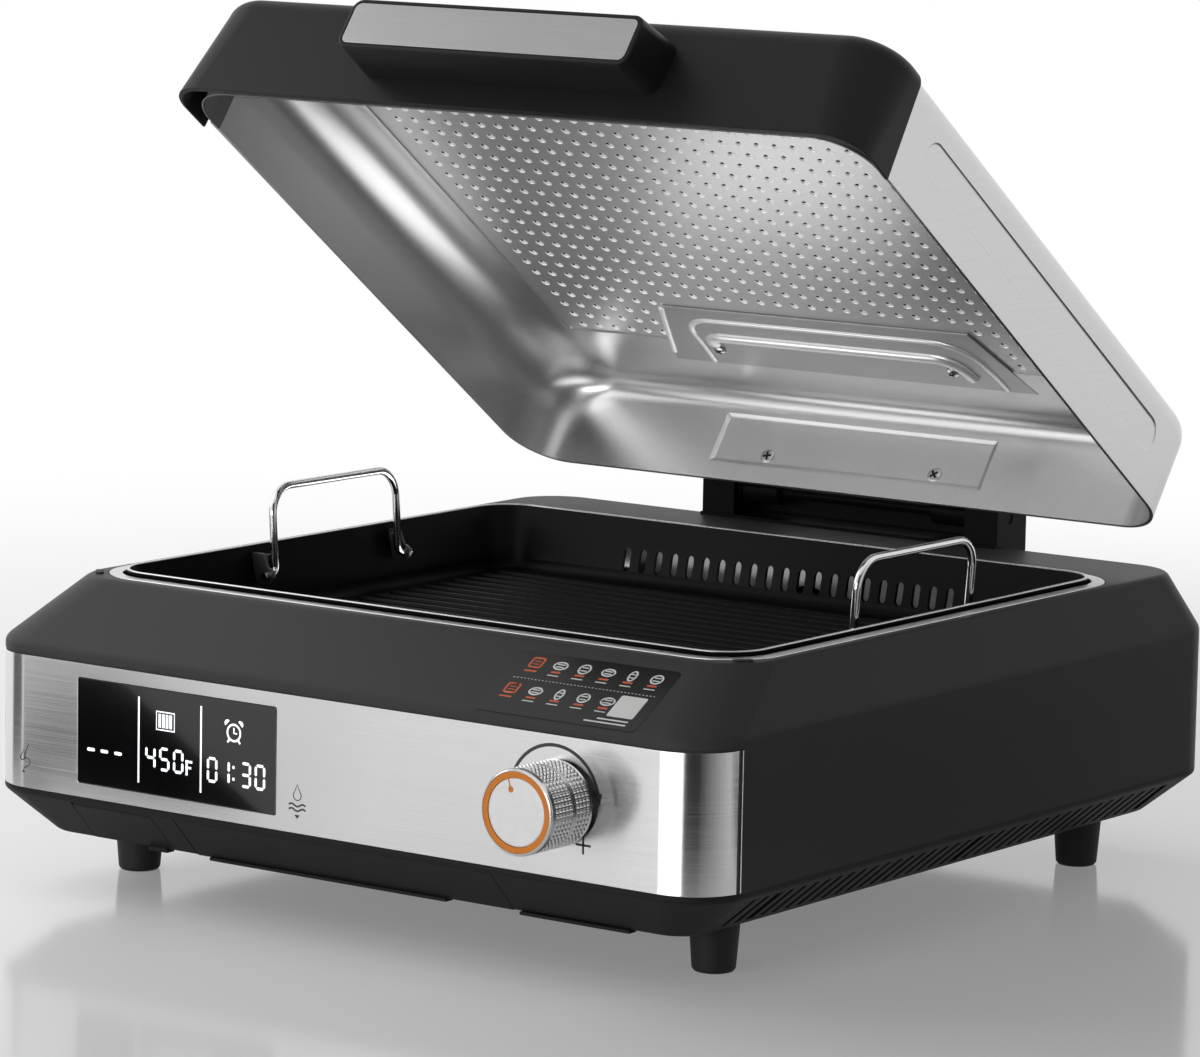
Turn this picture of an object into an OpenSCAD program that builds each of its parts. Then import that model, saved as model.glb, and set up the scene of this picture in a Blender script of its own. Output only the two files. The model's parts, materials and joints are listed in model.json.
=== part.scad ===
// Countertop smokeless grill with a hinged lid, stored with the lid part open.
// Millimetres, +Z up, -Y is the front. The origin is on the table, under the middle of the overall box.

/* [Casing] */
// Width of the casing at its waist
body_w = 430; // [410:1:460]
// Depth of the casing at its waist
body_d = 446; // [430:1:480]
// Corner radius of the casing in plan
body_corner_r = 28; // [24:1:34]
// Height of the sloped part of the skirt
skirt_h = 21; // [19:0.5:26]
// Height of the upright lip above the skirt
skirt_lip = 2.5; // [1.5:0.5:4]
// How far the skirt draws in at the front
skirt_front = 20; // [16:1:24]
// How far the skirt draws in at each side
skirt_side = 25; // [20:1:28]
// How far the skirt draws in at the rear
skirt_rear = 20; // [14:1:24]
// Corner radius of the underside in plan
skirt_corner_r = 15; // [12:1:22]
// Height of the upright walls
side_h = 71; // [68:1:80]
// Height of the sloped shoulders
slope_h = 27; // [24:1:32]
// How far the front shoulder draws in
front_slope = 45; // [40:1:50]
// How far each side shoulder draws in
side_slope = 15; // [12:1:18]
// How far the rear shoulder draws in
rear_slope = 9; // [6:1:12]
// Corner radius of the rim in plan
rim_corner_r = 27; // [22:1:32]
// Wall thickness of both mouldings
wall = 3; // [2.6:0.1:3.4]
// Thickness of the floor
floor_t = 2.5; // [2:0.1:3]
// Thickness of the rim
rim_t = 5; // [4.5:0.1:6]
// Number of slots in each side of the skirt
vent_count = 37; // [10:1:38]
// Distance from one slot to the next
vent_pitch = 10; // [8:0.5:10]
// Width of a narrow slot
vent_w = 3.5; // [2:0.5:5]

/* [Feet] */
// Height of a foot
foot_h = 24.5; // [18:0.5:35]
// Radius of a foot at the table
foot_r = 10.2; // [9:0.1:11.5]
// Radius of a foot at the casing
foot_top_r = 12; // [10:0.1:14]
// Distance of a foot from the casing's side
foot_in = 43; // [41:1:50]
// Distance of a foot from the casing's front or rear
foot_end = 68; // [58:1:80]
// How much farther out the rear feet stand than the front ones
foot_rear_out = 7; // [0:1:10]

/* [Control panel] */
// Height of the steel band
fascia_h = 64.8; // [62:0.1:66]
// Thickness of the steel band
fascia_t = 0.8; // [0.6:0.1:1]
// How far the band reaches back round the corners
fascia_wrap = 26; // [24:1:40]
// Width of the display window
display_w = 122; // [110:1:130]
// Height of the display window
display_h = 51; // [44:1:56]
// Distance of the display from the casing's left side
display_in = 62; // [54:1:68]
// Distance of the knob's axis from the casing's right side
knob_in = 81; // [65:1:100]
// Height of the knob above the middle of the band
knob_up = 2.5; // [-4:0.5:6]
// Radius of the knob
knob_r = 19.8; // [18:0.1:24]
// How far the knob stands out of the band
knob_reach = 34; // [28:0.5:40]
// How far the knob can be pressed
knob_press = 1.5; // [1:0.1:2]

/* [Cooking well] */
// Rim left bare beside the trim ring
trim_side = 5; // [4.6:0.1:8]
// Rim left bare in front of the trim ring
trim_front = 6; // [5:0.1:9]
// Rim left bare behind the trim ring
trim_rear = 49; // [47:1:56]
// Corner radius of the trim ring
trim_corner_r = 31; // [28:1:36]
// Visible width of the trim ring
trim_w = 6.6; // [6:0.1:7]
// Depth of the well below the rim
well_depth = 76; // [70:1:80]
// Depth of the ledge that carries the pan
ledge_depth = 33.7; // [30:0.1:38]
// Width of the ledge that carries the pan
ledge_w = 15; // [12:0.5:18]
// Radius of the heating tube
heater_r = 3.3; // [2.5:0.1:4.5]

/* [Grill pan] */
// How far the pan stands above the rim
pan_rise = 2.6; // [1.5:0.1:3]
// Thickness of the pan
pan_t = 2; // [1.6:0.1:2.6]
// How far the pan wall draws in at its foot
pan_taper = 8; // [5:0.5:9]
// Radius of a grill ridge
ridge_r = 2.6; // [1.5:0.1:3.2]
// Distance from one ridge to the next
ridge_pitch = 13; // [9:0.5:20]
// Number of smoke slots in the rear wall
smoke_slots = 21; // [5:1:23]
// Radius of the handle wire
wire_r = 2; // [1.5:0.1:2.4]
// Distance between the legs of a handle
bail_w = 100; // [80:1:120]
// Height of a handle above its pivot
bail_h = 44; // [36:0.5:48]

/* [Lid] */
// Gap between the rim and the edge of the closed lid's steel
lid_gap = 8.5; // [8.3:0.1:10]
// Height of the lid
lid_h = 54; // [52:0.5:60]
// Corner radius of the lid in plan
lid_corner_r = 28; // [24:1:34]
// Radius of the lid's upper edges
lid_edge_r = 14; // [11:0.5:16]
// Thickness of the lid's outer sheet
lid_t = 0.9; // [0.7:0.1:1]
// Radius of the liner's side fillets
liner_side_r = 30; // [20:1:34]
// Distance between holes in the reflector
hole_pitch = 10.5; // [9:0.5:14]
// Radius of a hole in the reflector
hole_r = 2; // [1.2:0.1:2.8]
// How far the bezel reaches back from the lid's front
bezel_len = 34; // [28:1:40]
// How far the bezel reaches below the steel
bezel_drop = 5; // [2:0.5:5]
// How far the bezel spreads at its lower edge
bezel_flare = 2.6; // [1:0.1:3]
// Width of the handle at the bezel
handle_w = 178; // [140:1:200]
// How far the handle stands out of the bezel
handle_reach = 33; // [24:0.5:36]
// Opening of the lid in the stored pose, degrees
lid_rest = 35.8; // [0:0.1:60]

/* [Hinge] */
// Distance of the hinge axis ahead of the casing's rear wall
hinge_in = 4.4; // [3:0.1:6]
// Height of the hinge axis above the closed lid's edge
hinge_rise = 6; // [5:0.5:8]
// Distance from the lid's rear wall to the hinge axis
hinge_lead = 21.5; // [20:0.5:24]
// Radius of the hinge pin
hinge_pin_r = 3; // [2.5:0.1:4]
// How far the tower stands out behind the casing
tower_overhang = 12; // [8:0.5:16]
// Half the width between the ears of the tower
ear_inner = 72; // [60:1:80]
// Thickness of each ear
ear_t = 20; // [16:1:26]

/* [Tray and flap] */
// Width of the tray's front panel
tray_w = 188; // [170:1:196]
// Depth of the tray, front to rear
tray_d = 290; // [250:1:320]
// Height of the tray
tray_h = 12; // [9:0.5:13]
// Width of the probe flap
flap_w = 49; // [42:1:52]
// Distance of the probe flap from the casing's left side
flap_in = 57; // [54:0.5:60]

/* [Fan] */
// Radius of the fan wheel
fan_r = 34; // [26:0.5:35]
// Width of the fan wheel
fan_w = 18; // [14:0.5:19]
// Number of blades
blade_count = 20; // [8:1:28]

/* [Fits] */
// Clearance round a turning shaft
shaft_gap = 0.05; // [0.02:0.01:0.08]
// Clearance between fixed pieces
seat_gap = 0.2; // [0.1:0.05:0.3]
// Gap round the trim ring and the opening panels
panel_gap = 0.4; // [0.3:0.05:0.6]

/* [Hidden] */
$fn = 48;
arc_steps = 8;
dome_steps = 6;

// Heights
floor_z = foot_h;
floor_top = floor_z + floor_t;
skirt_top = floor_z + skirt_h;
seam_z = skirt_top + skirt_lip;
waist_z = seam_z + side_h;
rim_z = waist_z + slope_h;

// Places front to rear, with the overall box centred on the origin
mid_y = (knob_reach - tower_overhang) / 2;
front_y = mid_y - body_d / 2;
rear_y = mid_y + body_d / 2;
half_w = body_w / 2;
rim_half = half_w - side_slope;
rim_front = front_y + front_slope;
rim_rear = rear_y - rear_slope;

// Plan rectangles as [left, right, front, rear, corner radius]
body_q = [-half_w, half_w, front_y, rear_y, body_corner_r];
rim_q = [-rim_half, rim_half, rim_front, rim_rear, rim_corner_r];
skirt_half = half_w - skirt_side;
skirt_q = [-skirt_half, skirt_half, front_y + skirt_front, rear_y - skirt_rear, skirt_corner_r];
trim_half = rim_half - trim_side;
trim_q = [-trim_half, trim_half, rim_front + trim_front, rim_rear - trim_rear, trim_corner_r];

// Fascia and knob
fascia_z = seam_z + 0.3;
fascia_mid = fascia_z + fascia_h / 2;
fascia_end = front_y + fascia_wrap;
knob_z = fascia_mid + knob_up;
knob_x = half_w - knob_in;
display_x = display_in + display_w / 2 - half_w;
knob_gap = 1 + knob_press;
shaft_r = 3;
shaft_reach = knob_reach - 10;
bushing_r = shaft_r + 1;
encoder_s = 13;
encoder_d = 8;
board_t = 1.6;

// Well, pan and trim
sheet_t = 0.8;
trim_t = 1.5;
rabbet = sheet_t + trim_t - 0.3;
opening_in = 5;
well_q = grow(trim_q, -opening_in - 0.5);
ledge_z = rim_z - ledge_depth;
well_z = rim_z - well_depth;
pan_q = grow(trim_q, -opening_in - 0.5 - sheet_t - 1.7);
pan_z = ledge_z;
pan_top = rim_z + pan_rise;
pan_floor = pan_z + pan_t + 0.5;
pan_foot_q = grow(pan_q, -pan_taper);
smoke_pitch = 10;
smoke_w = 4.5;
smoke_h = 12;
smoke_z = pan_floor + 6;
pivot_z = (pan_floor + pan_top) / 2 + 2;
pivot_x = pan_q[1] - pan_taper * (pan_top - pivot_z) / (pan_top - pan_z) - pan_t - wire_r - 6;
bail_lean = 4;
stop_high = 11;
ear_plate = 2;
wire_bend = 14;
foot_bend = 4;
ear_gap = foot_bend + 0.4;
stub = ear_gap + ear_plate + 3 - foot_bend;
heater_z = (well_z + pan_z) / 2 + 4;
heater_runs = 4;
heater_step = 70;
heater_half = 130;
support_x = 60;
drain_r = 15;

// Lid, drawn closed and then turned to its stored pose
lid_z = rim_z + lid_gap;
hinge_y = rear_y - hinge_in;
hinge_z = lid_z + hinge_rise;
lid_rear = hinge_y - hinge_lead;
lid_front = rim_front + trim_front + 3.1;
lid_q = [-rim_half, rim_half, lid_front, lid_rear, lid_corner_r];
bezel_proud = 0.6;
bezel_top = lid_h + 0.2;
bezel_side_r = lid_edge_r - 4;
bezel_front_r = lid_edge_r - 3;
bezel_corner_r = lid_corner_r - 8;
bezel_t = 2.5;
bezel_rear = lid_front + bezel_len;
liner_front_in = bezel_t + 3;
liner_top = lid_h - lid_t - 2.3;
liner_rear_r = 12;
liner_front_r = 20;
liner_q = [lid_t + seat_gap - rim_half, rim_half - lid_t - seat_gap, lid_front + liner_front_in,
    lid_rear - lid_t - seat_gap, lid_corner_r - 1];
ceiling_z = lid_z + liner_top;
reflector_half = liner_q[1] - liner_side_r - 12;
reflector_front = liner_q[2] + liner_front_r + 24;
reflector_rear = lid_rear - 66;
reflector_lap = 5;
stiffener_rear = lid_rear - 34;
stiffener_front = lid_rear - 90;
stiffener_t = 0.9;
stiffener_half = 98;
stiffener_taper = 16;
rib_half = 66;
rib_w = 14;
rib_drop = 5;
backing_w = 169;
backing_low = 8;
backing_high = min(37.5, liner_top - liner_rear_r - 0.5);
backing_t = 1.5;
backing_y = liner_q[3] - sheet_t - 0.25;
hinge_screw_x = 52;
hinge_screw_t = 16;
lid_screw_r = 2;
groove_low = 17;
groove_high = 34;
groove_rear = lid_rear - 44;
groove_front = bezel_rear + 24;
groove_w = 1.6;
groove_deep = 0.4;
handle_low = 13;
handle_high = 42;
plate_in = 2;
plate_deep = 1;
barrel_half = ear_inner - 2;
barrel_r = 7;
arm_w = 22;

// Tower
tower_front = hinge_y - 11.6;
tower_rear = rear_y + tower_overhang;
tower_rise = 8;
tower_half = ear_inner + ear_t;
tower_base_t = 1.6;
tower_drop = 15;
tower_web = 4;

// Skirt panels, in a frame that lies on the front skirt: x, down the slope, inwards
skirt_slope = atan2(skirt_front, skirt_h);
skirt_len = norm([skirt_front, skirt_h]);
side_len = norm([skirt_side, skirt_h]);
panel_t = 3;
panel_top = 1.5;
flap_x = flap_in + flap_w / 2 - half_w;
flap_pin_r = 0.8;
knuckle_r = 2;
flap_top = panel_top + knuckle_r + panel_gap;
flap_len = skirt_len - flap_top - 0.6;
cheek_t = 3.5;
tray_low = floor_top + 1;
tray_half = tray_w / 2 - 6;
tray_wall = 1.5;
tray_lip_half = tray_w / 2 - 1;
runner_half = tray_half + 1;
runner_w = tray_lip_half - runner_half - 0.3;
tray_front_y = front_y + skirt_front + panel_t / cos(skirt_slope) - 2.2;
socket_y = front_y + skirt_front + 25;
socket_z = floor_top + 8;

// Screws and posts in the casing
post_x = half_w - 34;
post_y = body_d / 2 - 113;
foot_x = half_w - foot_in;
foot_y = body_d / 2 - foot_end;
function foot_at(end) = mid_y + end * foot_y + (end > 0 ? foot_rear_out : 0);
post_r = 5;
post_gap = 2;
post_len = 16;
case_screw_r = 1.7;
case_head_r = 3.7;
case_head_h = 2.4;
foot_screw_r = 2;
foot_boss_h = 10;

// Fan and duct behind the well
fan_x = 0;
fan_z = well_z + 25;
scroll_r = fan_r + 8;
duct_front = well_q[3] + seat_gap;
duct_d = 13;
duct_half = 106;
duct_wall = 1.5;
fan_front = duct_front + duct_d + seat_gap;
fan_d = fan_w + 8;
motor_front = fan_front + fan_d + seat_gap;
motor_d = 15;
motor_r = 16;
fan_shaft_r = 2;
window_half = 100;
window_z = smoke_z - 4;
window_h = smoke_h + 6;

// Rear socket
inlet_x = 75 - half_w;
inlet_z = waist_z - 38;
inlet_w = 29;
inlet_h = 21;
inlet_d = 22;
pad_turn = 41;
pad_out = trim_corner_r + 4.6;

charcoal = [0.17, 0.17, 0.18];
black = [0.06, 0.06, 0.06];
steel = [0.75, 0.75, 0.76];
green = [0.1, 0.3, 0.16];

// A plan rectangle grown by d on every side
function grow(q, d) = [q[0] - d, q[1] + d, q[2] - d, q[3] + d, max(q[4] + d, 1)];

function quarter(x, y, r, from) = [for (i = [0:arc_steps]) let (a = from + 90 * i / arc_steps)
    [x + r * cos(a), y + r * sin(a)]];

// Points round a plan rectangle with rounded corners
function outline(q) = concat(
    quarter(q[1] - q[4], q[2] + q[4], q[4], -90), quarter(q[1] - q[4], q[3] - q[4], q[4], 0),
    quarter(q[0] + q[4], q[3] - q[4], q[4], 90), quarter(q[0] + q[4], q[2] + q[4], q[4], 180));

// How far an edge rounded with radius r has drawn in at height t of h
function edge_in(t, h, r) = t <= h - r ? 0 : r - sqrt(max(0, r * r - pow(t - h + r, 2)));

// Solid through rings of points, each given as [height, points]
module loft(rings) {
    n = len(rings[0][1]);
    last = (len(rings) - 1) * n;
    sides = [for (k = [0:len(rings) - 2]) for (i = [0:n - 1])
        let (j = (i + 1) % n, a = k * n, b = a + n) each [[a + i, b + i, b + j], [a + i, b + j, a + j]]];
    polyhedron([for (ring = rings) for (p = ring[1]) [p[0], p[1], ring[0]]],
        concat([[for (i = [0:n - 1]) i]], sides, [[for (i = [n - 1:-1:0]) last + i]]));
}

// Flat rectangle with rounded corners
module rounded(q) {
    translate([q[0] + q[4], q[2]]) square([q[1] - q[0] - 2 * q[4], q[3] - q[2]]);
    translate([q[0], q[2] + q[4]]) square([q[1] - q[0], q[3] - q[2] - 2 * q[4]]);
    for (x = [q[0] + q[4], q[1] - q[4]], y = [q[2] + q[4], q[3] - q[4]])
        translate([x, y]) circle(q[4]);
}

module plate(q, low, high) translate([0, 0, low]) linear_extrude(high - low) rounded(q);

module ring(q, w, low, high) translate([0, 0, low]) linear_extrude(high - low) difference() {
    rounded(q);
    rounded(grow(q, -w));
}

module box(low, high) translate(low) cube(high - low);

// Round bar from a point, along one axis
module rod(r, from, length, axis) translate(from)
    rotate(axis == "x" ? [0, 90, 0] : axis == "y" ? [-90, 0, 0] : 0) cylinder(r = r, h = length);

// Extrudes a profile drawn in (y, z) along x
module along_x(low, high) translate([low, 0, 0]) rotate([90, 0, 90]) linear_extrude(high - low) children();

// Frame on the front skirt: x, down the slope, inwards
module on_skirt() translate([0, front_y, skirt_top]) rotate([skirt_slope - 90, 0, 0]) children();

// Closed dome on a plan rectangle, with its own edge radius at the sides, rear and front
module dome(q, h, side_r, rear_r, front_r) {
    r = max(side_r, rear_r, front_r);
    levels = concat([0], [for (i = [0:dome_steps]) h - r * (1 - sin(90 * i / dome_steps))]);
    translate([0, 0, lid_z]) loft([for (t = levels)
        let (s = edge_in(t, h, side_r), b = edge_in(t, h, rear_r), f = edge_in(t, h, front_r))
        [t, outline([q[0] + s, q[1] - s, q[2] + f, q[3] - b, max(q[4] - min(s, b, f), 3)])]]);
}

// Turns what is drawn on the closed lid to the stored pose
module lid_pose() translate([0, hinge_y, hinge_z]) rotate([-lid_rest, 0, 0])
    translate([0, -hinge_y, -hinge_z]) children();

module lower_housing() color(black) difference() {
    union() {
        difference() {
            loft([[floor_z, outline(skirt_q)], [skirt_top, outline(body_q)], [seam_z, outline(body_q)]]);
            loft([[floor_top, outline(grow(skirt_q, -wall))], [skirt_top, outline(grow(body_q, -wall))],
                [seam_z + 1, outline(grow(body_q, -wall))]]);
        }
        for (x = [-1, 1], y = [-1, 1]) {
            translate([x * post_x, mid_y + y * post_y, floor_top - 1])
                cylinder(r = post_r, h = seam_z + post_gap - seat_gap - floor_top + 1);
            translate([x * foot_x, foot_at(y), floor_top - 1]) cylinder(r = 6, h = foot_boss_h + 1);
        }
        for (x = [power_left + 6, power_right - 6], y = [power_front + 6, power_rear - 6])
            translate([x, y, floor_top - 1]) cylinder(r = 3, h = standoff + 1);
        flap_cheeks();
        box([flap_x - flap_w / 2 - cheek_t, socket_y, floor_top - 1],
            [flap_x + flap_w / 2 + cheek_t, socket_y + 2, socket_z + 9]);
    }
    on_skirt() box([-tray_w / 2 - panel_gap, panel_top - panel_gap, -1],
        [tray_w / 2 + panel_gap, skirt_len + 4, panel_t + 2]);
    on_skirt() box([flap_x - flap_w / 2 - panel_gap, flap_top - knuckle_r - panel_gap, -1],
        [flap_x + flap_w / 2 + panel_gap, skirt_len + 4, 5]);
    on_skirt() rod(flap_pin_r + shaft_gap, [flap_x - flap_w / 2 - cheek_t - 1, flap_top, knuckle_r],
        flap_w + 2 * cheek_t + 2, "x");
    rod(5 + shaft_gap, [flap_x, socket_y - 1, socket_z], 4, "y");
    for (side = [0, 1]) mirror([side, 0, 0]) side_vents();
    for (x = [-1, 1], y = [-1, 1]) {
        translate([x * post_x, mid_y + y * post_y, floor_z - 1]) {
            cylinder(r = case_head_r + seat_gap, h = 1 + case_head_h + seat_gap);
            cylinder(r = case_screw_r + shaft_gap, h = skirt_h + 20);
        }
        translate([x * foot_x, foot_at(y), floor_z - 1])
            cylinder(r = foot_screw_r + shaft_gap, h = floor_t + foot_boss_h + 2);
    }
    for (i = [0:3]) translate([fan_x + 4 + i * (scroll_r - 4) / 4, fan_front + 3, floor_z - 1])
        cube([4, fan_d - 6, floor_t + 2]);
}

// Two lugs behind the front skirt that hold the flap's pin
module flap_cheeks() on_skirt() for (x = [flap_x - flap_w / 2 - cheek_t, flap_x + flap_w / 2 + panel_gap])
    box([x, flap_top - knuckle_r, knuckle_r - 0.5], [x + cheek_t - panel_gap, flap_top + 3, 6]);

// Slots that run down the side skirt, every seventeenth one wide
module side_vents() for (i = [0:vent_count - 1]) {
    w = i % 17 == 2 ? vent_w + 2.5 : vent_w;
    translate([half_w, mid_y + (i - (vent_count - 1) / 2) * vent_pitch - w / 2, skirt_top])
        rotate([0, atan2(skirt_h, -skirt_side), 0]) box([5, 0, -6], [side_len - 5, w, 2]);
}

module upper_shell() color(charcoal) difference() {
    union() {
        difference() {
            loft([[seam_z, outline(body_q)], [waist_z, outline(body_q)], [rim_z, outline(rim_q)]]);
            loft([[seam_z - 1, outline(grow(body_q, -wall))],
                [waist_z - wall, outline(grow(body_q, -wall))],
                [rim_z - rim_t, outline(grow(rim_q, -wall))]]);
        }
        for (x = [-1, 1], y = [-1, 1]) translate([x * post_x, mid_y + y * post_y, seam_z + post_gap]) {
            cylinder(r = post_r, h = post_len);
            rib = half_w - post_x - wall / 2;
            translate([x > 0 ? 0 : -rib, -1.5, 0]) cube([rib, 3, post_len]);
        }
    }
    plate(grow(trim_q, -opening_in), rim_z - rim_t - 1, rim_z + 1);
    plate(grow(trim_q, panel_gap), rim_z - rabbet, rim_z + 1);
    difference() {
        box([-half_w - 1, front_y - 1, fascia_z - seat_gap],
            [half_w + 1, fascia_end + seat_gap, fascia_z + fascia_h + seat_gap]);
        plate(grow(body_q, -fascia_t - seat_gap), seam_z - 1, waist_z);
    }
    window_block(seat_gap, -1, wall + 1);
    rod(bushing_r + seat_gap, [knob_x, front_y - 1, knob_z], wall + 2, "y");
    box([inlet_x - inlet_w / 2 - seat_gap, rear_y - wall - 1, inlet_z - inlet_h / 2 - seat_gap],
        [inlet_x + inlet_w / 2 + seat_gap, rear_y + 1, inlet_z + inlet_h / 2 + seat_gap]);
    for (x = [-1, 1], y = [-1, 1]) translate([x * post_x, mid_y + y * post_y, seam_z])
        cylinder(r = case_screw_r + shaft_gap, h = post_gap + post_len - 2);
    for (side = [0, 1]) mirror([side, 0, 0]) bumper(0.1, rim_z - 1.6, rim_z + 1);
}

// Block on the display's window, grown by a margin, between two depths behind the panel
module window_block(grown, from, to)
    box([display_x - display_w / 2 - grown, front_y + from, fascia_mid - display_h / 2 - grown],
        [display_x + display_w / 2 + grown, front_y + to, fascia_mid + display_h / 2 + grown]);

module fascia_band() color(steel) difference() {
    intersection() {
        ring(body_q, fascia_t, fascia_z, fascia_z + fascia_h);
        box([-half_w - 1, front_y - 1, fascia_z - 1], [half_w + 1, fascia_end, fascia_z + fascia_h + 1]);
    }
    window_block(seat_gap, -1, wall + 1);
    rod(bushing_r + seat_gap, [knob_x, front_y - 1, knob_z], wall, "y");
}

module display_glass() color(black) {
    window_block(0, -0.1, wall + seat_gap);
    window_block(2, wall + seat_gap, wall + 2);
}

display_back = wall + 2 + seat_gap;
module display_board() color(green) {
    window_block(-4, display_back, display_back + 5);
    window_block(0, display_back + 5, display_back + 5 + board_t);
}

encoder_y = front_y + wall + seat_gap;
module encoder() color("gray") difference() {
    union() {
        box([knob_x - encoder_s / 2, encoder_y, knob_z - encoder_s / 2],
            [knob_x + encoder_s / 2, encoder_y + encoder_d, knob_z + encoder_s / 2]);
        rod(bushing_r, [knob_x, front_y - 0.5, knob_z], wall + 0.5 + seat_gap, "y");
    }
    rod(shaft_r + shaft_gap, [knob_x, front_y - 2, knob_z], wall + 5, "y");
}

module knob_board() color(green) box([knob_x - 24, encoder_y + encoder_d, knob_z - 18],
    [knob_x + 24, encoder_y + encoder_d + board_t, knob_z + 18]);

module encoder_shaft() color("silver")
    rod(shaft_r, [knob_x, front_y - shaft_reach, knob_z], shaft_reach + wall + 2, "y");

face_in = 1.2;
ring_in = 3.6;
face_t = 2.2;
knob_len = knob_reach - knob_gap;
shaft_hole = shaft_reach - knob_gap + knob_press + 0.7;
module on_knob(out) translate([knob_x, front_y - out, knob_z]) rotate([90, 0, 0]) children();

module knob_sleeve() color("silver") on_knob(knob_gap) difference() {
    rotate_extrude() polygon([[0, 0], [knob_r - 0.8, 0], [knob_r, 0.8], [knob_r, knob_len - 1.2],
        [knob_r - 1.2, knob_len], [0, knob_len]]);
    translate([0, 0, knob_len - face_t]) cylinder(r = knob_r - face_in, h = face_t + 1);
    translate([0, 0, -1]) cylinder(r = shaft_r + shaft_gap, h = 1 + shaft_hole);
    translate([0, 0, -1]) difference() {
        cylinder(r = knob_r - 3, h = 13);
        cylinder(r = shaft_r + 4, h = 13);
    }
}

module knob_ring() color("orange") on_knob(knob_reach - face_t + 0.1) difference() {
    cylinder(r = knob_r - face_in - 0.1, h = face_t - 0.1);
    translate([0, 0, -1]) cylinder(r = knob_r - ring_in, h = face_t + 2);
}

module knob_face() color("lightgray") on_knob(knob_reach - face_t + 0.1)
    cylinder(r = knob_r - ring_in - 0.1, h = face_t - 0.3);

// Power board on stand-offs beside the tray
power_w = 70;
power_d = 90;
power_left = tray_w / 2 + 12;
power_right = power_left + power_w;
power_front = mid_y - 95;
power_rear = power_front + power_d;
standoff = 6;
power_z = floor_top + standoff;
module power_board() color(green) {
    top = power_z + board_t;
    box([power_left, power_front, power_z], [power_right, power_rear, top]);
    box([power_left + 8, power_front + 8, top], [power_left + 28, power_front + 24, top + 14]);
    box([power_left + 36, power_front + 10, top], [power_left + 60, power_front + 26, top + 17]);
    box([power_left + 10, power_front + 50, top], [power_left + 14, power_front + 82, top + 20]);
    translate([power_left + 44, power_front + 60, top]) cylinder(r = 9, h = 20);
}

module power_inlet() color(black) {
    difference() {
        union() {
            box([inlet_x - inlet_w / 2, rear_y - inlet_d, inlet_z - inlet_h / 2],
                [inlet_x + inlet_w / 2, rear_y + 0.3, inlet_z + inlet_h / 2]);
            box([inlet_x - inlet_w / 2 - 9, rear_y + 0.3, inlet_z - inlet_h / 2 - 2],
                [inlet_x + inlet_w / 2 + 9, rear_y + 2.3, inlet_z + inlet_h / 2 + 2]);
        }
        box([inlet_x - inlet_w / 2 + 2, rear_y - inlet_d + 4, inlet_z - inlet_h / 2 + 2],
            [inlet_x + inlet_w / 2 - 2, rear_y + 5, inlet_z + inlet_h / 2 - 2]);
    }
    for (i = [-1:1])
        translate([inlet_x + i * 7 - 1, rear_y - inlet_d + 3.5, inlet_z - (i == 0 ? 1 : 4)]) cube([2, 13, 4]);
}

flange_z = rim_z - rabbet + sheet_t;
module trim_ring() color(steel) ring(trim_q, trim_w, flange_z + 0.1, flange_z + trim_t);

// Stepped steel well: flange in the rabbet, ledge for the pan, drain to the tray
module well_liner() color(steel) difference() {
    union() {
        ring(grow(trim_q, -2), opening_in + sheet_t - 1.5, flange_z - sheet_t + 0.05, flange_z);
        plate(well_q, ledge_z - sheet_t, flange_z);
        plate(grow(well_q, -ledge_w), well_z, ledge_z);
        translate([0, mid_y - 60, well_z - 22]) cylinder(r = drain_r + 1, h = 23);
    }
    plate(grow(well_q, -sheet_t), ledge_z, rim_z + 1);
    plate(grow(well_q, -ledge_w - sheet_t), well_z + sheet_t, ledge_z + 1);
    translate([0, mid_y - 60, well_z - 23]) cylinder(r = drain_r, h = 30);
    box([-window_half, well_q[3] - sheet_t - 1, window_z],
        [window_half, well_q[3] + 1, window_z + window_h]);
    for (y = heater_ends) rod(heater_r + seat_gap, [well_q[1] - ledge_w - 3, mid_y + y, heater_z], 6, "x");
}

heater_first = -heater_step * (heater_runs - 1) / 2;
heater_ends = [heater_first, -heater_first];
heater_out = well_q[1] - ledge_w + 14;
function run_y(i) = heater_first + i * heater_step;
module heating_element() color("dimgray") translate([0, mid_y, heater_z]) {
    for (i = [0:heater_runs - 1]) {
        right_end = i == 0 || i == heater_runs - 1 ? heater_out : heater_half;
        rod(heater_r, [-heater_half, run_y(i), 0], heater_half + right_end, "x");
    }
    for (i = [0:heater_runs - 2]) {
        side = i % 2 == 0 ? -1 : 1;
        translate([side * heater_half, run_y(i + 0.5), 0]) rotate([0, 0, -90 * side])
            rotate_extrude(angle = 180) translate([heater_step / 2, 0]) circle(heater_r);
    }
}

// Two combs that stand on the well's floor and hold the heating tube
module element_supports() color(steel) for (x = [-support_x, support_x]) translate([x, mid_y, 0])
difference() {
    box([-1, heater_first - 10, well_z + sheet_t], [1, 10 - heater_first, heater_z + 1]);
    for (i = [0:heater_runs - 1]) {
        rod(heater_r + 0.1, [-2, run_y(i), heater_z], 4, "x");
        translate([-2, run_y(i) - heater_r - 0.1, heater_z]) cube([4, 2 * heater_r + 0.2, heater_r + 5]);
    }
}

module temperature_sensor() color("silver") translate([0, mid_y, well_z + sheet_t]) {
    cylinder(r = 5, h = pan_z - well_z - sheet_t - 6);
    translate([0, 0, pan_z - well_z - sheet_t - 6]) cylinder(r = 9, h = 5.8);
}

// Inner half width of the pan at height z
function pan_in(z) = pan_q[1] - pan_t - pan_taper * (pan_top - z) / (pan_top - pan_z);

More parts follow.
